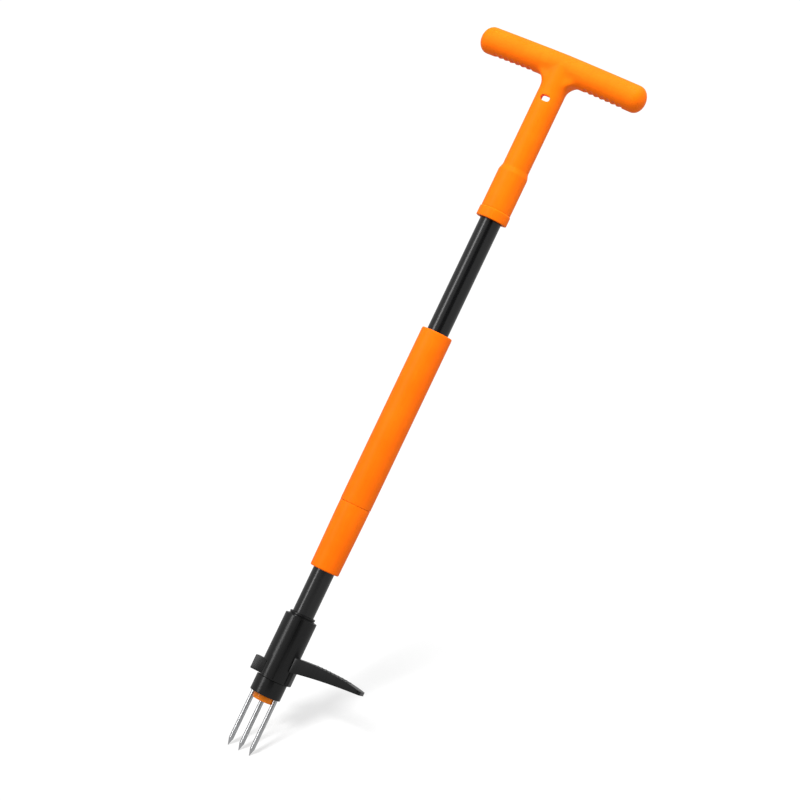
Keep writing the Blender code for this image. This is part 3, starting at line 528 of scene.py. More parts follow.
class Bench:
    """The modelling steps, each on one mesh object."""

    @staticmethod
    def pick(*pieces: bpy.types.Object) -> None:
        """Select these pieces alone, the first of them active."""
        bpy.ops.object.select_all(action="DESELECT")
        for piece in pieces:
            piece.select_set(True)
        bpy.context.view_layer.objects.active = pieces[0] if pieces else None

    @staticmethod
    def add(operator: Callable[..., Any], **settings: Any) -> bpy.types.Object:
        """Add an object with nothing else selected.

        Args:
            operator: The operator that adds it.
            settings: What the operator is given.

        Returns:
            The new object.
        """
        bpy.ops.object.select_all(action="DESELECT")
        operator(**settings)
        return bpy.context.object

    @staticmethod
    @contextmanager
    def editing(piece: bpy.types.Object) -> Iterator[None]:
        """Edit one piece, with all of it selected.

        Args:
            piece: The piece.

        Returns:
            A context in which the edit-mode operators act on the piece.
        """
        Bench.pick(piece)
        bpy.ops.object.mode_set(mode="EDIT")
        bpy.ops.mesh.select_mode(type="VERT")
        bpy.ops.mesh.select_all(action="SELECT")
        yield
        bpy.ops.object.mode_set(mode="OBJECT")

    @staticmethod
    def choose(piece: bpy.types.Object, test: Callable[[Vector], bool]) -> None:
        """In edit mode, select the vertices that pass a test.

        Args:
            piece: The piece being edited.
            test: What a vertex's place is asked.
        """
        mesh = bmesh.from_edit_mesh(piece.data)
        bpy.ops.mesh.select_all(action="DESELECT")
        for vert in mesh.verts:
            vert.select = test(vert.co)
        mesh.select_flush(True)
        bmesh.update_edit_mesh(piece.data)

    @staticmethod
    def settle(piece: bpy.types.Object, name: str = "") -> bpy.types.Object:
        """Put a piece's place, turn and size into its mesh.

        Args:
            piece: The piece.
            name: Its new name, if it gets one.

        Returns:
            The piece.
        """
        Bench.pick(piece)
        bpy.ops.object.transform_apply(location=True, rotation=True, scale=True)
        if name:
            piece.name = piece.data.name = name
        return piece

    @staticmethod
    def tidy() -> None:
        """In edit mode, merge doubles and turn the faces outwards."""
        bpy.ops.mesh.select_all(action="SELECT")
        bpy.ops.mesh.remove_doubles(threshold=0.002 * MM)
        bpy.ops.mesh.normals_make_consistent(inside=False)

    @staticmethod
    def grow(radius: float, height: float, before: Corner) -> None:
        """In edit mode, extrude the selected ring to a new radius and height.

        Args:
            radius: The new ring's radius; 0 closes it in a pole.
            height: Its height.
            before: The selected ring's radius and height.
        """
        bpy.ops.mesh.extrude_region_move(
            TRANSFORM_OT_translate={"value": (0, 0, height - before[1])})
        if radius > 0:
            share = radius / before[0]
            bpy.ops.transform.resize(value=(share, share, 1), center_override=(0, 0, height))
        else:
            bpy.ops.mesh.merge(type="CENTER")

    @staticmethod
    def turn(name: str, outline: Sequence[Corner], segments: int = 96,
             closed: bool = False) -> bpy.types.Object:
        """Turn an outline round the Z axis.

        Args:
            name: The piece's name.
            outline: Its corners; an end at radius 0 closes in a pole.
            segments: Facets round it.
            closed: Whether the last corner joins the first, as in a tube's wall.

        Returns:
            The turned piece.
        """
        points = rounded(outline, closed)
        rings = [point for point in points if point[0] > 0]
        first = rings[0]
        piece = Bench.settle(Bench.add(
            bpy.ops.mesh.primitive_circle_add, vertices=segments, radius=first[0],
            location=(0, 0, first[1])), name)
        with Bench.editing(piece):
            if points[0][0] == 0:
                Bench.grow(0, points[0][1], first)
                Bench.choose(piece, lambda at: at.xy.length > first[0] / 2)
            for before, after in zip(rings, rings[1:]):
                Bench.grow(*after, before)
            if closed:
                Bench.grow(*first, rings[-1])
            elif points[-1][0] == 0:
                Bench.grow(*points[-1], rings[-1])
            Bench.tidy()
        return piece

    @staticmethod
    def block(name: str, low: Place, high: Place, edge: float = 0.0,
              segments: int = 3) -> bpy.types.Object:
        """A box between two corners with rounded edges.

        Args:
            name: The piece's name.
            low: Its lowest corner.
            high: Its highest corner.
            edge: How far its edges are rounded back.
            segments: Facets in an edge.

        Returns:
            The box.
        """
        low, high = Vector(low), Vector(high)
        piece = Bench.settle(Bench.add(
            bpy.ops.mesh.primitive_cube_add, size=1, location=(low + high) / 2,
            scale=high - low), name)
        if edge:
            with Bench.editing(piece):
                bpy.ops.mesh.bevel(offset=edge, segments=segments, affect="EDGES")
        return piece

    @staticmethod
    def peg(name: str, radius: float, start: Place, end: Place,
            segments: int = 32) -> bpy.types.Object:
        """A round bar from start to end, for a cutter or a stem.

        Args:
            name: The piece's name.
            radius: Its radius.
            start: The middle of one end.
            end: The middle of the other.
            segments: Facets round it.

        Returns:
            The bar.
        """
        start, end = Vector(start), Vector(end)
        return Bench.settle(Bench.add(
            bpy.ops.mesh.primitive_cylinder_add, vertices=segments, radius=radius,
            depth=(end - start).length, location=(start + end) / 2,
            rotation=(end - start).to_track_quat("Z", "Y").to_euler()), name)

    @staticmethod
    def sweep(name: str, sections: Sequence[Section]) -> bpy.types.Object:
        """Extrude an upright face along X through a row of sections.

        Args:
            name: The piece's name.
            sections: Each section's x, lowest z, highest z and half width.

        Returns:
            The closed piece.
        """
        x, low, high, half = sections[0]
        piece = Bench.add(bpy.ops.mesh.primitive_plane_add, size=1,
                          location=(x, 0, (low + high) / 2), rotation=(0, math.pi / 2, 0))
        piece.scale = (high - low, 2 * half, 1)
        Bench.settle(piece, name)
        with Bench.editing(piece):
            for before, after in zip(sections, sections[1:]):
                middle = (after[1] + after[2]) / 2
                step = (after[0] - before[0], 0, middle - (before[1] + before[2]) / 2)
                bpy.ops.mesh.extrude_region_move(TRANSFORM_OT_translate={"value": step})
                bpy.ops.transform.resize(
                    value=(1, after[3] / before[3], (after[2] - after[1])
                           / (before[2] - before[1])),
                    center_override=(after[0], 0, middle))
            Bench.tidy()
        return piece

    @staticmethod
    def copy(piece: bpy.types.Object, name: str, step: Place) -> bpy.types.Object:
        """A copy with its own mesh, moved by a step.

        Args:
            piece: What is copied.
            name: The copy's name.
            step: How far it is moved.

        Returns:
            The copy.
        """
        Bench.pick(piece)
        bpy.ops.object.duplicate(linked=False)
        twin = bpy.context.object
        bpy.ops.transform.translate(value=step)
        return Bench.settle(twin, name)

    @staticmethod
    def modify(piece: bpy.types.Object, kind: str, **settings: Any) -> None:
        """Add a modifier and apply it.

        Args:
            piece: The piece.
            kind: The modifier's type.
            settings: What is set on it.
        """
        Bench.pick(piece)
        modifier = piece.modifiers.new(kind.title(), kind)
        for name, setting in settings.items():
            setattr(modifier, name, setting)
        bpy.ops.object.modifier_apply(modifier=modifier.name)

    @staticmethod
    def join(piece: bpy.types.Object, how: Join, *tools: bpy.types.Object) -> None:
        """Cut tools out of a piece, add them or keep what they share, and remove them.

        Args:
            piece: The piece.
            how: What the tools do.
            tools: The closed tool objects.
        """
        group = bpy.data.collections.new(f"{how.name} {piece.name}")
        for tool in tools:
            group.objects.link(tool)
        Bench.modify(piece, "BOOLEAN", operation=how.value, solver="EXACT",
                     operand_type="COLLECTION", collection=group)
        bpy.data.collections.remove(group)
        for tool in tools:
            bpy.data.objects.remove(tool)

    @staticmethod
    def soften(piece: bpy.types.Object, edge: float, segments: int = 2,
               angle: float = 40.0) -> None:
        """Round a piece's sharp edges.

        Args:
            piece: The piece.
            edge: How far they are rounded back.
            segments: Facets in an edge.
            angle: The least angle of an edge that counts as sharp, in degrees.
        """
        Bench.modify(piece, "BEVEL", width=edge, segments=segments, limit_method="ANGLE",
                     angle_limit=math.radians(angle), use_clamp_overlap=True)

    @staticmethod
    def smooth(piece: bpy.types.Object, angle: float = 32.0) -> bpy.types.Object:
        """Shade a piece smooth, with its edges above an angle left sharp."""
        with Bench.editing(piece):
            bpy.ops.mesh.delete_loose()
        Bench.pick(piece)
        bpy.ops.object.shade_smooth_by_angle(angle=math.radians(angle))
        return piece


# Sub-assemblies

def middle_z(node: str) -> float:
    """The height of a CAD node's middle."""
    low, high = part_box(node)
    return (low.z + high.z) / 2


@dataclass
class BackScrew:
    """A pan-head screw with a cross recess, at the back of a moulding."""

    node: str
    stem_radius: float = 1.6 * MM
    head_height: float = 1.4 * MM
    recess_width: float = 0.75 * MM
    recess_reach: float = 1.7 * MM
    recess_depth: float = 0.85 * MM
    crown: float = 0.35 * MM

    def build(self) -> None:
        """Turn the screw, cut its recess and lay it along Y."""
        low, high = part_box(self.node)
        head_radius = (high.x - low.x) / 2
        screw = Bench.turn(self.node + "_piece", [
            (0, low.y), (self.stem_radius * 0.6, low.y),
            (self.stem_radius, low.y + 0.6 * MM, 0.2 * MM),
            (self.stem_radius, high.y - self.head_height, 0.1 * MM),
            (head_radius, high.y - self.head_height, 0.15 * MM),
            (head_radius, high.y - self.crown, 0.5 * MM), (head_radius * 0.6, high.y),
            (0, high.y)], 40)
        top = high.y + MM
        floor = high.y - self.recess_depth
        arm, half = self.recess_reach, self.recess_width / 2
        Bench.join(screw, Join.CUT,
                   Bench.block("recess_a", (-arm, -half, floor), (arm, half, top)),
                   Bench.block("recess_b", (-half, -arm, floor), (half, arm, top)))
        screw.rotation_euler = (-math.pi / 2, 0, 0)
        screw.location = (0, 0, middle_z(self.node))
        Bench.settle(screw)
        Bench.smooth(screw)
        Paintshop.place(screw, Body.FRAME, ZINC, self.node)

    def cutters(self, surface: float, gap: float = 0.3 * MM) -> list[bpy.types.Object]:
        """The hole and counterbore that the screw needs in a moulding.

        Args:
            surface: The moulding's radius where the screw goes in.
            gap: Room round the screw.

        Returns:
            The two cutting tools.
        """
        low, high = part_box(self.node)
        middle = middle_z(self.node)
        head_radius = (high.x - low.x) / 2 + gap
        floor = high.y - self.head_height - gap
        return [Bench.peg("hole", self.stem_radius + gap, (0, low.y - CLEAR, middle),
                          (0, surface + CLEAR, middle)),
                Bench.peg("counterbore", head_radius, (0, floor, middle),
                          (0, surface + 2 * CLEAR, middle))]


@dataclass
class Handle:
    """The T-handle: cross bar, blended neck, collar with its bead, and the screw."""

    bar_radius: float = 17.8 * MM
    bar_drop: float = 2.0 * MM
    nose: float = 13.5 * MM
    neck_radius: float = 17.55 * MM
    shoulder_radius: float = 18.1 * MM
    shoulder_drop: float = 37.0 * MM
    collar_radius: float = 19.8 * MM
    collar_height: float = 65.2 * MM
    collar_slope: float = 6.5 * MM
    bead_radius: float = 20.7 * MM
    bead_height: float = 14.2 * MM
    socket_radius: float = 14.5 * MM
    socket_depth: float = 143.7 * MM
    mouth_radius: float = 15.4 * MM
    mouth_depth: float = 4.0 * MM
    fillet: float = 8.0 * MM
    web_half_depth: float = 14.0 * MM
    web_edge: float = 6.0 * MM
    blend_half_width: float = 32.0 * MM
    blend_low: float = -38.0 * MM
    blend_high: float = -5.0 * MM
    hole_drop: float = 46.4 * MM
    hole_half_width: float = 6.35 * MM
    hole_radius: float = 3.8 * MM
    pocket_half_width: float = 12.5 * MM
    pocket_half_height: float = 20.0 * MM
    pocket_wall: float = 10.0 * MM
    pocket_edge: float = 2.5 * MM
    teeth: int = 7
    teeth_start: float = 40.5 * MM
    teeth_pitch: float = 8.0 * MM
    tooth_radius: float = 3.1 * MM
    tooth_depth: float = 2.8 * MM
    blend_voxel: float = 1.2 * MM
    voxel: float = 0.8 * MM
    trial_coarseness: float = 1.7    # a factor for wider voxels in a coarser remesh

    def __post_init__(self) -> None:
        """Take the handle's place from its CAD node."""
        low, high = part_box("t_handle")
        self.mouth_z = low.z
        self.bar_z = high.z - self.bar_radius
        self.half_length = high.x
        self.screw = BackScrew("handle_screw")

    def drop(self, x: float) -> float:
        """How much lower the bowed bar's axis is at that distance from the middle."""
        return self.bar_drop * (abs(x) / self.half_length) ** 1.4

    def bar(self) -> bpy.types.Object:
        """The cross bar with its rounded noses, laid along X and bowed a little."""
        straight = self.half_length - self.nose
        turns = [math.radians(90 * n / 12) for n in range(12)]
        end = [(self.bar_radius * math.cos(t), straight + self.nose * math.sin(t))
               for t in turns]
        rings = [(self.bar_radius, straight * n / 10) for n in range(-9, 10)]
        outline = [(0, -self.half_length), *[(r, -z) for r, z in reversed(end)],
                   *rings, *end, (0, self.half_length)]
        bar = Bench.turn("bar", outline)
        bar.rotation_euler = (0, math.pi / 2, 0)
        bar.location = (0, 0, self.bar_z)
        Bench.settle(bar)
        for vert in bar.data.vertices:
            vert.co.z -= self.drop(vert.co.x)
        return bar

    def fillets(self) -> bpy.types.Object:
        """The web in the corners between neck and bar, hollowed to their round."""
        corner_x = self.shoulder_radius + self.fillet
        corner_z = self.bar_z - self.bar_radius - self.fillet
        web = Bench.block("web", (-corner_x, -self.web_half_depth, corner_z),
                          (corner_x, self.web_half_depth, self.bar_z), self.web_edge, 5)
        Bench.join(web, Join.CUT, *[
            Bench.peg("round", self.fillet, (side * corner_x, -0.03, corner_z),
                      (side * corner_x, 0.03, corner_z), 64) for side in (-1, 1)])
        return web

    def body(self) -> bpy.types.Object:
        """Bar, web and upper neck blended into one."""
        start = self.mouth_z + self.collar_height + self.collar_slope - 3 * MM
        shoulder_z = self.bar_z - self.shoulder_drop
        neck = Bench.turn("t_handle_piece", [
            (0, start), (self.neck_radius, start), (self.neck_radius, shoulder_z, 8 * MM),
            (self.shoulder_radius, shoulder_z + 9 * MM, 6 * MM),
            (self.shoulder_radius, self.bar_z), (0, self.bar_z)])
        Bench.join(neck, Join.ADD, self.bar(), self.fillets())
        Bench.modify(neck, "REMESH", mode="VOXEL", voxel_size=self.blend_voxel)
        Bench.modify(neck, "SMOOTH", factor=0.6, iterations=4)
        with Bench.editing(neck):
            Bench.choose(neck, lambda at: abs(at.x) < self.blend_half_width
                         and self.blend_low < at.z - self.bar_z < self.blend_high)
            bpy.ops.mesh.vertices_smooth(factor=0.6, repeat=28)
        return neck

    def teeth_cutters(self) -> list[bpy.types.Object]:
        """The round bars that cut the grip teeth, one modelled and the rest copied."""
        low = self.bar_z - self.bar_radius - self.tooth_radius + self.tooth_depth
        first = Bench.peg("tooth", self.tooth_radius, (0, -0.02, low), (0, 0.02, low), 24)
        bars = []
        for n in range(self.teeth):
            for side in (-1, 1):
                x = side * (self.teeth_start + n * self.teeth_pitch)
                bars.append(Bench.copy(first, "tooth", (x, 0, -self.drop(x))))
        bpy.data.objects.remove(first)
        return bars

    def hole_cutters(self) -> list[bpy.types.Object]:
        """The oblong hang hole and the coring pocket behind it."""
        middle = self.bar_z - self.hole_drop
        run = self.hole_half_width - self.hole_radius
        deep = self.neck_radius + 2 * CLEAR
        front = -self.neck_radius + self.pocket_wall
        slot = Bench.block("slot", (-self.hole_half_width, -deep, middle - self.hole_radius),
                           (self.hole_half_width, deep, middle + self.hole_radius))
        with Bench.editing(slot):
            corners = self.hole_radius * 0.98
            bpy.ops.mesh.select_mode(type="EDGE")
            mesh = bmesh.from_edit_mesh(slot.data)
            for edge in mesh.edges:
                edge.select = abs(edge.verts[0].co.y - edge.verts[1].co.y) > run
            bmesh.update_edit_mesh(slot.data)
            bpy.ops.mesh.bevel(offset=corners, segments=8, affect="EDGES")
        pocket = Bench.block(
            "pocket", (-self.pocket_half_width, front, middle - self.pocket_half_height),
            (self.pocket_half_width, deep, middle + self.pocket_half_height),
            self.pocket_edge)
        return [slot, pocket]

    def collar(self) -> bpy.types.Object:
        """The crisp lower collar with the bead at its mouth, solid."""
        z = self.mouth_z
        top = z + self.collar_height
        lip = top + self.collar_slope + 4 * MM
        return Bench.turn("collar", [
            (0, z), (self.bead_radius, z, 1.2 * MM),
            (self.bead_radius, z + self.bead_height - 1.4 * MM, 0.7 * MM),
            (self.collar_radius - 0.35 * MM, z + self.bead_height - 0.5 * MM, 0.4 * MM),
            (self.collar_radius, z + self.bead_height + 1.0 * MM, 0.5 * MM),
            (self.collar_radius, top, 1.6 * MM),
            (self.neck_radius, top + self.collar_slope, 1.6 * MM),
            (self.neck_radius - 0.15 * MM, lip), (self.neck_radius - 1.0 * MM, lip),
            (0, lip)])

    def socket(self) -> bpy.types.Object:
        """The stepped bore for the tube."""
        z = self.mouth_z
        return Bench.turn("socket", [
            (0, z - CLEAR), (self.mouth_radius, z - CLEAR),
            (self.mouth_radius, z + self.mouth_depth), (self.socket_radius, z
                                                        + self.mouth_depth + 0.6 * MM),
            (self.socket_radius, z + self.socket_depth), (0, z + self.socket_depth)])

    def build(self) -> None:
        """Make the handle and its screw."""
        body = self.body()
        Bench.join(body, Join.CUT, *self.teeth_cutters(), *self.hole_cutters())
        voxel = self.voxel * 1
        Bench.modify(body, "REMESH", mode="VOXEL", voxel_size=voxel)
        Bench.modify(body, "SMOOTH", factor=0.5, iterations=2)
        Bench.join(body, Join.ADD, self.collar())
        Bench.join(body, Join.CUT, self.socket(), *self.screw.cutters(self.neck_radius))
        Bench.smooth(body, 38)
        Paintshop.place(body, Body.FRAME, HANDLE_ORANGE, "t_handle")
        self.screw.build()


@dataclass
class Shaft:
    """The painted tube, with its slots and screw holes."""

    outer: float = 14.2 * MM
    bore: float = 12.7 * MM
    slot_half_width: float = 2.8 * MM
    slot_gap: float = 1.2 * MM
    screw_hole: float = 1.9 * MM
    stop_hole: float = 1.8 * MM

    def build(self) -> None:
        """Turn the tube, cut it and keep what is hidden in it."""
        low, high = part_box("shaft_tube")
        tube = Bench.turn("shaft_tube_piece", [
            (self.bore, low.z, 0.3 * MM), (self.outer, low.z, 0.3 * MM),
            (self.outer, high.z, 0.4 * MM), (self.bore, high.z, 0.3 * MM)], closed=True)
        pin_low, pin_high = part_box("cross_pin")
        travel = next(j["range_m"][1] for j in frame["joints"] if j["name"] == "ejector_slide")
        wide = self.outer + CLEAR
        cutters = [Bench.block(
            "slots", (-self.slot_half_width, -wide, pin_low.z - travel - self.slot_gap),
            (self.slot_half_width, wide, pin_high.z + self.slot_gap), 1.2 * MM)]
        for node in ("handle_screw", "head_screw"):
            z = middle_z(node)
            cutters.append(Bench.peg("hole", self.screw_hole, (0, self.bore - CLEAR, z),
                                     (0, wide, z)))
        z = middle_z("stop_screw_front")
        cutters.append(Bench.peg("hole", self.stop_hole, (0, -wide, z), (0, wide, z)))
        Bench.join(tube, Join.CUT, *cutters)
        Paintshop.place(Bench.smooth(tube), Body.FRAME, TUBE_PAINT, "shaft_tube")
        Paintshop.keep(ZINC, "spring_stop", "stop_screw_front", "stop_screw_back")


@dataclass
class Grip:
    """The sliding orange sleeve, its ferrule and the bushes that it runs on."""

    sleeve_bore: float = 17.65 * MM
    ferrule_bore: float = 16.2 * MM
    tube_gap_radius: float = 14.5 * MM
    foot_wall: float = 3.2 * MM
    foot_edge: float = 2.0 * MM
    top_edge: float = 2.6 * MM
    band: float = 14.0 * MM
    spigot: float = 16.0 * MM
    spigot_gap: float = 0.3 * MM

    def sleeve(self) -> bpy.types.Object:
        """The long sleeve, rounded at its top."""
        low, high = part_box("grip_sleeve")
        return Bench.turn("grip_sleeve_piece", [
            (self.sleeve_bore, low.z, 0.3 * MM), (high.x, low.z, 0.35 * MM),
            (high.x, high.z, self.top_edge), (self.sleeve_bore, high.z, 0.5 * MM)],
            128, closed=True)

    def ferrule(self) -> bpy.types.Object:
        """The tapered foot of the sleeve with its spigot."""
        low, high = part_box("grip_ferrule")
        seam = high.z - self.spigot
        foot = self.ferrule_bore + self.foot_wall
        spigot = self.sleeve_bore - self.spigot_gap
        wide = high.x
        return Bench.turn("grip_ferrule_piece", [
            (self.ferrule_bore, low.z, 0.5 * MM), (foot, low.z, self.foot_edge),
            (wide, seam - self.band, 3 * MM), (wide, seam, 0.35 * MM),
            (spigot, seam), (spigot, high.z, 0.6 * MM),
            (self.ferrule_bore, high.z, 0.5 * MM)], 128, closed=True)

    def ring(self, node: str) -> bpy.types.Object:
        """A turned bush in the place of its CAD node."""
        low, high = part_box(node)
        inner = self.tube_gap_radius
        return Bench.turn(node + "_piece", [
            (inner, low.z, 0.4 * MM), (high.x, low.z, 0.4 * MM), (high.x, high.z, 0.4 * MM),
            (inner, high.z, 0.4 * MM)], closed=True)

    def build(self) -> None:
        """Make the sleeve, ferrule and bushes and dress what the sleeve hides."""
        Paintshop.place(Bench.smooth(self.sleeve()), Body.EJECTOR, GRIP_ORANGE, "grip_sleeve")
        Paintshop.place(Bench.smooth(self.ferrule()), Body.EJECTOR, GRIP_ORANGE,
                        "grip_ferrule")
        for node in ("upper_slide_bush", "lower_slide_bush"):
            Paintshop.place(Bench.smooth(self.ring(node)), Body.EJECTOR, NYLON, node)
        Paintshop.keep(NYLON, "pin_carrier", "rod_head", "ejector_yoke")
        Paintshop.keep(ZINC, "cross_pin", "push_rod", "return_spring")


@dataclass
class Head:
    """The head's core and the black housing with its boss and foot pedal."""

    bore: float = 17.5 * MM
    top_radius: float = 21.25 * MM
    edge: float = 0.8 * MM
    core_radius: float = 17.2 * MM
    core_bore: float = 14.5 * MM
    screw_hole: float = 1.9 * MM
    boss_reach: float = 24.5 * MM
    boss_half_width: float = 7.0 * MM
    boss_height: float = 36.0 * MM
    pedal_half_width: float = 11.5 * MM
    pedal_corner: float = 5.0 * MM
    crown: float = 40.3 * MM
    crown_start: float = 62.0 * MM
    crown_end: float = 74.0 * MM
    root_x: float = 19.375 * MM
    root_drop: float = 2.9 * MM
    end_drop: float = 4.0 * MM
    root_depth: float = 19.6 * MM
    end_depth: float = 4.6 * MM
    hollow: float = 1.6 * MM
    button_half_width: float = 5.9 * MM
    notch_front_x: float = -8.5 * MM
    notch_height: float = 19.7 * MM
    notch_corner: float = 3.0 * MM
    rail_line: tuple[tuple[float, float], ...] = (   # x and the lower edge's height
        (-8.4 * MM, 34 * MM), (-5.0 * MM, 27 * MM), (-4.6 * MM, 10.5 * MM),
        (-4.2 * MM, 2 * MM), (7.3 * MM, 2 * MM))
    rail_y: float = -16.0 * MM
    rail_half_depth: float = 12.0 * MM
    rail_top_gap: float = 0.4 * MM
    rail_height: float = 0.8 * MM
    ribs: int = 9
    rib_start: float = 44.0 * MM
    rib_pitch: float = 6.0 * MM

    def __post_init__(self) -> None:
        """Take the head's place from its CAD nodes."""
        low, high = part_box("pedal_housing")
        self.low_z, self.high_z = low.z, high.z
        self.reach = high.x
        self.radius = -low.x
        self.screw = BackScrew("head_screw")

    def core(self) -> bpy.types.Object:
        """The reducer ring between tube and housing, whose grooved lip shows on top."""
        low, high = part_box("head_core")
        out, lip = self.core_radius, high.z
        core = Bench.turn("head_core_piece", [
            (self.core_bore, low.z, 0.4 * MM), (out, low.z, 0.4 * MM),
            (out, self.high_z + 1.0 * MM, 0.2 * MM),
            (out - 0.7 * MM, self.high_z + 1.5 * MM, 0.2 * MM),
            (out - 0.7 * MM, self.high_z + 1.9 * MM, 0.2 * MM),
            (out, self.high_z + 2.4 * MM, 0.2 * MM), (out, lip, 0.7 * MM),
            (self.core_bore, lip, 0.4 * MM)], closed=True)
        z = middle_z("head_screw")
        Bench.join(core, Join.CUT, Bench.peg(
            "hole", self.screw_hole, (0, self.core_bore - CLEAR, z), (0, out + CLEAR, z)))
        return core

    def tread_height(self, x: float) -> float:
        """The tread's height: it rises from its root, runs level, and falls to its end.

        Args:
            x: The distance from the shaft's axis.

        Returns:
            The height.
        """
        drop = 0.0
        if x < self.crown_start:
            drop = self.root_drop * ((self.crown_start - x)
                                     / (self.crown_start - self.root_x)) ** 2
        elif x > self.crown_end:
            drop = self.end_drop * ((x - self.crown_end) / (self.reach - self.crown_end)) ** 2
        return self.low_z + self.crown - drop

    def underside_height(self, x: float) -> float:
        """The height of the arched underside, which tapers towards the pedal's end.

        Args:
            x: The distance from the shaft's axis.

        Returns:
            The height.
        """
        share = (x - self.root_x) / (self.reach - self.root_x)
        root = self.tread_height(self.root_x) - self.root_depth
        end = self.tread_height(self.reach) - self.end_depth
        return root + (end - root) * share + 4 * self.hollow * share * (1 - share)

    def pedal(self) -> bpy.types.Object:
        """The foot pedal, swept out from the housing and rounded at its end."""
        straight = self.reach - self.pedal_corner
        stations = [self.root_x + (straight - self.root_x) * n / 20 for n in range(21)]
        stations += [straight + self.pedal_corner * math.sin(math.radians(a))
                     for a in (18, 36, 54, 72, 84, 90)]
        sections = []
        for x in stations:
            into = max(0.0, (x - straight) / self.pedal_corner)
            half = self.pedal_half_width - self.pedal_corner * (
                1 - math.sqrt(max(0.0, 1 - into ** 2)))
            sections.append((x, self.underside_height(x), self.tread_height(x), half))
        pedal = Bench.sweep("pedal", sections)
        Bench.soften(pedal, 0.9 * MM, 3, 50)
        return pedal

    def rail(self) -> bpy.types.Object:
        """The shallow raised rail on the front, its left edge jogged beside the button."""
        z, top = self.low_z, self.high_z
        rail = Bench.sweep("rail", [(x, z + rise, top - self.rail_top_gap, self.rail_half_depth)
                                    for x, rise in self.rail_line])
        rail.location.y = self.rail_y
        Bench.settle(rail)
        high = self.rail_height
        skin = Bench.turn("rail_skin", [
            (0, z), (self.radius + high, z), (self.top_radius + high, top), (0, top)], 128)
        Bench.join(rail, Join.SHARE, skin)
        return rail

    def tread_ribs(self) -> list[bpy.types.Object]:
        """Low anti-slip ribs across the tread, one modelled and the rest copied."""
        half = self.pedal_half_width - 2.4 * MM
        x = self.rib_start
        z = self.tread_height(x)
        first = Bench.block("rib", (x, -half, z - MM), (x + 1.6 * MM, half, z + 0.55 * MM),
                            0.35 * MM, 2)
        ribs = [first]
        for n in range(1, self.ribs):
            step = n * self.rib_pitch
            ribs.append(Bench.copy(first, "rib", (step, 0, self.tread_height(x + step) - z)))
        return ribs

    def notch(self) -> bpy.types.Object:
        """What opens the housing round the button, its front corner rounded."""
        wide = self.radius + CLEAR
        low = self.low_z - CLEAR
        notch = Bench.block("notch", (-wide, -wide, low),
                            (self.notch_front_x, self.button_half_width,
                             self.low_z + self.notch_height))
        with Bench.editing(notch):
            Bench.choose(notch, lambda at: at.x > self.notch_front_x - MM and at.z > low + MM)
            bpy.ops.mesh.bevel(offset=self.notch_corner, segments=6, affect="EDGES")
        return notch

    def housing(self) -> bpy.types.Object:
        """Barrel, boss and pedal in one, with the open notch for the lock button."""
        z, top = self.low_z, self.high_z
        housing = Bench.turn("pedal_housing_piece", [
            (0, z), (self.radius, z, self.edge), (self.top_radius, top, self.edge), (0, top)],
            128)
        boss = Bench.block("boss", (self.bore / 2, -self.boss_half_width, z),
                           (self.boss_reach, self.boss_half_width, z + self.boss_height),
                           1.4 * MM)
        Bench.join(housing, Join.ADD, boss, self.pedal(), self.rail(), *self.tread_ribs())
        _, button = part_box("lock_button")
        half = self.button_half_width
        catch = Bench.block("catch", (-self.bore - 1.7 * MM, -half, z),
                            (-self.bore / 2, half, button.z + 0.4 * MM))
        bore = Bench.turn("bore", [(0, z - CLEAR), (self.bore, z - CLEAR),
                                   (self.bore, top + CLEAR), (0, top + CLEAR)], 128)
        surface = (self.radius + self.top_radius) / 2
        Bench.join(housing, Join.CUT, bore, self.notch(), catch, *self.screw.cutters(surface))
        return housing

    def build(self) -> None:
        """Make the core, the housing and the screw."""
        Paintshop.place(Bench.smooth(self.core()), Body.FRAME, HEAD_BLACK, "head_core")
        Paintshop.place(Bench.smooth(self.housing()), Body.FRAME, HEAD_BLACK,
                        "pedal_housing")
        self.screw.build()


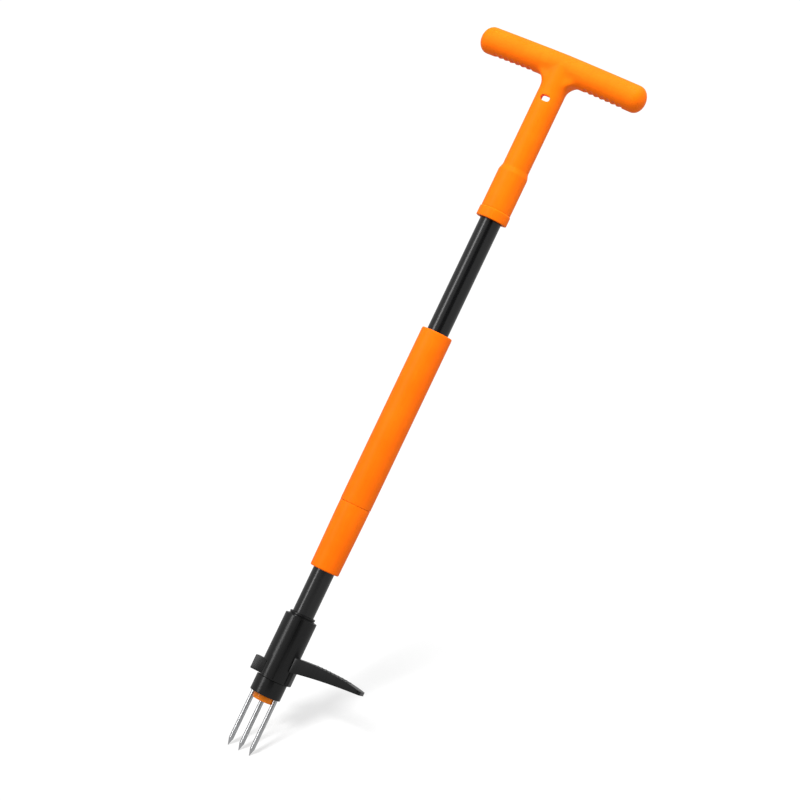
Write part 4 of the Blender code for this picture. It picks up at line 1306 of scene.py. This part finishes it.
@dataclass
class TineSet:
    """The tine holder with its three tines and the ejector plate on its two legs."""

    spacing: float = 15.8 * MM
    tine_radius: float = 3.15 * MM
    cone: float = 9.8 * MM
    spigot_radius: float = 17.2 * MM
    edge: float = 0.8 * MM
    leg_offset: float = 9.7 * MM
    leg_radius: float = 2.2 * MM
    chamfer: float = 1.2 * MM

    def __post_init__(self) -> None:
        """Lay out the tines in a row and the legs before and behind them."""
        self.tine_places = [(x, 0) for x in (-self.spacing, 0, self.spacing)]
        self.leg_places = [(0, y) for y in (-self.leg_offset, self.leg_offset)]

    @staticmethod
    def bores(places: list[tuple[float, float]], radius: float, low: float, high: float,
              segments: int = 32) -> list[bpy.types.Object]:
        """Upright round cutters.

        Args:
            places: The x and y of each.
            radius: Their radius.
            low: Their foot.
            high: Their top.
            segments: Facets round each.

        Returns:
            The cutters.
        """
        return [Bench.peg("bore", radius, (x, y, low), (x, y, high), segments)
                for x, y in places]

    def tine(self) -> bpy.types.Object:
        """The middle tine, its point slightly blunted by grinding."""
        _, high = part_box("tine_centre")
        return Bench.turn("tine_centre_piece", [
            (0, 0), (0.22 * MM, 0.12 * MM, 0.1 * MM), (self.tine_radius, self.cone, 0.9 * MM),
            (self.tine_radius, high.z, 0.5 * MM), (0, high.z)], 48)

    def holder(self) -> bpy.types.Object:
        """The collar under the housing and its stem inside, bored for tines and legs."""
        low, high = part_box("tine_holder")
        head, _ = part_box("pedal_housing")
        shelf = head.z - 0.3 * MM
        wide = high.x
        holder = Bench.turn("tine_holder_piece", [
            (0, low.z), (wide, low.z, self.edge), (wide, shelf, 0.5 * MM),
            (self.spigot_radius, shelf), (self.spigot_radius, high.z, 0.4 * MM), (0, high.z)],
            128)
        _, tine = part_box("tine_centre")
        cutters = self.bores(self.tine_places, self.tine_radius + 0.3 * MM, low.z - CLEAR,
                             tine.z + 0.3 * MM)
        cutters += self.bores(self.leg_places, self.leg_radius + 0.35 * MM, low.z - CLEAR,
                              high.z + CLEAR)
        near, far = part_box("lock_button")
        half = far.y + 0.4 * MM
        spring_low, spring_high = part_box("lock_spring")
        middle = middle_z("lock_spring")
        cutters.append(Bench.block(
            "pocket", (-wide - CLEAR, -half, near.z - 0.4 * MM),
            (spring_low.x - 0.3 * MM + 5.4 * MM, half, far.z + 0.4 * MM)))
        cutters.append(Bench.peg(
            "spring_bore", (spring_high.z - spring_low.z) / 2 + 0.4 * MM,
            (spring_low.x + 4 * MM, 0, middle), (spring_high.x + 0.3 * MM, 0, middle)))
        Bench.join(holder, Join.CUT, *cutters)
        return holder

    def plate(self) -> bpy.types.Object:
        """The orange stripping plate, bored and notched for tines and legs."""
        low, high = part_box("ejector_plate")
        wide = high.y
        plate = Bench.turn("ejector_plate_piece", [
            (0, low.z), (wide - self.chamfer * 0.8, low.z, 0.3 * MM),
            (wide, low.z + self.chamfer, 0.5 * MM), (wide, high.z, 0.5 * MM), (0, high.z)], 128)
        cutters = self.bores(self.tine_places, self.tine_radius + 0.35 * MM, low.z - CLEAR,
                             high.z + CLEAR, 48)
        leg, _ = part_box("ejector_leg_front")
        cutters += self.bores(self.leg_places, self.leg_radius + 0.3 * MM, leg.z - 0.3 * MM,
                              high.z + CLEAR)
        Bench.join(plate, Join.CUT, *cutters)
        Bench.soften(plate, 0.25 * MM, 2, 60)
        return plate

    def leg(self) -> bpy.types.Object:
        """The front leg, with chamfered ends."""
        low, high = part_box("ejector_leg_front")
        leg = Bench.turn("ejector_leg_front_piece", [
            (0, low.z), (self.leg_radius, low.z, 0.5 * MM), (self.leg_radius, high.z, 0.5 * MM),
            (0, high.z)], 32)
        leg.location.y = -self.leg_offset
        return Bench.settle(leg)

    def build(self) -> None:
        """Make the holder, tines, plate and legs."""
        Paintshop.place(Bench.smooth(self.holder()), Body.FRAME, HEAD_BLACK, "tine_holder")
        tine = Bench.smooth(self.tine(), 20)
        sides = [Bench.copy(tine, f"tine_{side}_piece", (x, 0, 0))
                 for side, x in (("left", -self.spacing), ("right", self.spacing))]
        for piece in (tine, *sides):
            Paintshop.place(piece, Body.FRAME, TINE_STEEL, piece.name.removesuffix("_piece"))
        Paintshop.place(Bench.smooth(self.plate()), Body.EJECTOR, PLATE_ORANGE,
                        "ejector_plate")
        front = Bench.smooth(self.leg())
        back = Bench.copy(front, "ejector_leg_back_piece", (0, 2 * self.leg_offset, 0))
        for piece in (front, back):
            Paintshop.place(piece, Body.EJECTOR, ZINC, piece.name.removesuffix("_piece"))


@dataclass
class Lock:
    """The square lock button, with its catch, flange and spring post."""

    half_width: float = 5.5 * MM
    edge: float = 0.9 * MM
    top_drop: float = 2.4 * MM
    flange: float = 1.5 * MM
    post_radius: float = 1.7 * MM
    post_length: float = 3.2 * MM
    catch_x: float = -18.8 * MM

    def button(self) -> bpy.types.Object:
        """The button in one piece."""
        low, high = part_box("lock_button")
        back = high.x - self.post_length
        face_top = high.z - self.top_drop
        button = Bench.block("lock_button_piece", (low.x, -self.half_width, low.z),
                             (back - 0.2 * MM, self.half_width, face_top), self.edge)
        flange = Bench.block("flange", (back - self.flange, low.y, low.z),
                             (back, high.y, high.z), 0.2 * MM, 1)
        catch = Bench.block("catch", (self.catch_x, -self.half_width + 0.3 * MM,
                                      face_top - 2 * MM),
                            (back - self.flange + MM / 2, self.half_width - 0.3 * MM,
                             high.z - 0.3 * MM), 0.15 * MM, 1)
        middle = (low.z + face_top) / 2
        post = Bench.peg("post", self.post_radius, (back - self.flange / 2, 0, middle),
                         (high.x, 0, middle), 24)
        Bench.join(button, Join.ADD, flange, catch, post)
        return button

    def build(self) -> None:
        """Make the button and dress its spring."""
        Paintshop.place(Bench.smooth(self.button()), Body.LATCH, HEAD_BLACK, "lock_button")
        Paintshop.keep(ZINC, "lock_spring")


# Studio

def around(azimuth: float, distance: float, height: float) -> Vector:
    """A place round the tool.

    Args:
        azimuth: Its compass angle in degrees, 0 in front and 90 to the right.
        distance: How far it is from the shaft's axis.
        height: Its height above the floor.

    Returns:
        The place.
    """
    turn = math.radians(azimuth)
    return Vector((distance * math.sin(turn), -distance * math.cos(turn), height))


@dataclass(frozen=True)
class SoftLight:
    """A soft rectangular lamp at a compass place round the tool."""

    name: str
    azimuth: float
    distance: float
    height: float
    width: float
    tall: float
    radiance: float
    seen_in_gloss: bool = True
    target_z: float = 0.5

    def build(self) -> bpy.types.Object:
        """Add the lamp, aimed at the shaft."""
        place = around(self.azimuth, self.distance, self.height)
        aim = Vector((0, 0, self.target_z)) - place
        bpy.ops.object.light_add(type="AREA", location=place,
                                 rotation=aim.to_track_quat("-Z", "Y").to_euler())
        lamp = bpy.context.object
        lamp.name = self.name
        lamp.data.shape = "RECTANGLE"
        lamp.data.size, lamp.data.size_y = self.width, self.tall
        lamp.data.energy = self.radiance * math.pi * self.width * self.tall
        lamp.visible_glossy = self.seen_in_gloss
        return lamp


@dataclass
class Studio:
    """White floor and surround, soft lights and the camera."""

    azimuth: float = 19.0
    distance: float = 3.3
    height: float = 0.40
    target_z: float = 0.4845
    aside: float = -6.2 * MM
    lens: float = 117.9
    roll: float = 25.5
    floor_size: float = 120.0
    surround: float = 0.50
    surround_seen: float = 1.05
    floor_seen: float = 1.08
    floor_albedo: float = 0.5
    shadow_turn: float = -5.1
    shadow_rise: float = 6.8
    shadow_soft: float = 2.4
    shadow_share: float = 0.30

    def camera(self) -> None:
        """Set up the camera, turned about its line of sight so that the tool leans."""
        place = around(self.azimuth, self.distance, self.height)
        across = around(self.azimuth + 90, self.aside, 0)
        aim = Vector((0, 0, self.target_z)) + across - place
        bpy.ops.object.camera_add(location=place)
        camera = bpy.context.object
        camera.rotation_mode = "QUATERNION"
        camera.rotation_quaternion = (aim.to_track_quat("-Z", "Y")
                                      @ Quaternion((0, 0, 1), math.radians(self.roll)))
        camera.data.lens = self.lens
        camera.data.clip_start, camera.data.clip_end = 0.05, 200.0
        bpy.context.scene.camera = camera

    def world(self) -> None:
        """A white surround that lights softly and looks white."""
        world = bpy.data.worlds.new("white_surround")
        world.use_nodes = True
        bpy.context.scene.world = world
        tree = world.node_tree
        background = tree.nodes["Background"]
        background.inputs["Color"].default_value = (1, 1, 1, 1)
        background.inputs["Strength"].default_value = self.surround
        seen = tree.nodes.new("ShaderNodeBackground")
        seen.inputs["Color"].default_value = (1, 1, 1, 1)
        seen.inputs["Strength"].default_value = self.surround_seen
        path = tree.nodes.new("ShaderNodeLightPath")
        blend = tree.nodes.new("ShaderNodeMixShader")
        tree.links.new(path.outputs["Is Camera Ray"], blend.inputs[0])
        tree.links.new(background.outputs[0], blend.inputs[1])
        tree.links.new(seen.outputs[0], blend.inputs[2])
        tree.links.new(blend.outputs[0], tree.nodes["World Output"].inputs["Surface"])

    def floor(self) -> bpy.types.Object:
        """A plain pale floor under the tips."""
        floor = Bench.add(bpy.ops.mesh.primitive_plane_add, size=self.floor_size,
                          location=(0, 0, 0))
        floor.name = "studio_floor"
        floor.visible_glossy = floor.visible_diffuse = False
        graph = Graph("pale_floor")
        tone = graph.noise(0.4)
        albedo = self.floor_albedo
        floor.data.materials.append(graph.surface({
            "Base Color": graph.mix(tone, (albedo,) * 3, (albedo + 0.004,) * 3),
            "Roughness": 0.95, "Specular IOR Level": 0.0, "Emission Color": (1, 1, 1, 1),
            "Emission Strength": self.floor_seen - self.shadow_share - albedo * self.surround}))
        floor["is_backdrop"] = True
        return floor

    def card(self) -> None:
        """A dark card behind the camera that only glossy surfaces pick up."""
        azimuth = self.azimuth + 6
        place = around(azimuth, self.distance + 0.6, 1.1)
        card = Bench.add(bpy.ops.mesh.primitive_plane_add, size=1, location=place,
                         rotation=(math.pi / 2, 0, math.radians(azimuth)))
        card.name = "dark_card"
        card.scale = (2.6, 2.6, 1)
        graph = Graph("dark_card_felt")
        card.data.materials.append(graph.surface({
            "Base Color": (0.002, 0.002, 0.002, 1), "Roughness": 1.0,
            "Specular IOR Level": 0.0}))
        for ray in ("camera", "diffuse", "shadow", "transmission", "volume_scatter"):
            setattr(card, f"visible_{ray}", False)
        card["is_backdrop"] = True

    def shadow_light(self, floor: bpy.types.Object) -> None:
        """A low sun that lights the floor alone, for the tool's long soft shadow.

        Args:
            floor: The floor.
        """
        toward = around(self.azimuth + self.shadow_turn,
                        math.cos(math.radians(self.shadow_rise)),
                        math.sin(math.radians(self.shadow_rise)))
        bpy.ops.object.light_add(type="SUN", location=toward * 5,
                                 rotation=toward.to_track_quat("Z", "Y").to_euler())
        sun = bpy.context.object
        sun.name = "low_sun"
        sun.data.angle = math.radians(self.shadow_soft)
        sun.data.energy = self.shadow_share * math.pi / (self.floor_albedo * toward.z)
        sun.light_linking.receiver_collection = self.linked("sun_lights", floor, "INCLUDE")

    @staticmethod
    def linked(name: str, floor: bpy.types.Object, state: str) -> bpy.types.Collection:
        """A light-linking group that takes the floor in or leaves it out.

        Args:
            name: The group's name.
            floor: The floor.
            state: INCLUDE or EXCLUDE.

        Returns:
            The group.
        """
        group = bpy.data.collections.new(name)
        group.objects.link(floor)
        group.collection_objects[0].light_linking.link_state = state
        return group

    def build(self) -> None:
        """Set the whole studio up."""
        bpy.context.scene.view_settings.view_transform = "Standard"
        self.world()
        floor = self.floor()
        self.card()
        self.shadow_light(floor)
        tool_only = self.linked("soft_lights_light", floor, "EXCLUDE")
        face = self.azimuth
        for light in (
            SoftLight("strip_light", face - 58, 2.1, 0.7, 0.46, 2.6, 6.0),
            SoftLight("key_light", face - 24, 2.6, 3.2, 2.0, 2.0, 13.5, False),
            SoftLight("fill_light", face + 75, 2.8, 0.9, 1.6, 2.0, 1.7, False),
            SoftLight("top_light", face, 0.3, 3.0, 2.4, 2.4, 1.2, False),
        ):
            light.build().light_linking.receiver_collection = tool_only
        self.camera()


def corners() -> list[list[float]]:
    """The shown object's lowest and highest corner as plain lists."""
    return [list(corner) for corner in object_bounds()]


def main() -> None:
    """Build every sub-assembly and the studio."""
    logging.basicConfig(level=logging.INFO, format="%(name)s %(message)s")
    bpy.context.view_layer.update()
    for assembly in (Handle(), Shaft(), Grip(), Head(), TineSet(), Lock(), Studio()):
        assembly.build()
        log.info("%s finished", type(assembly).__name__)


if __name__ == "__main__":
    main()
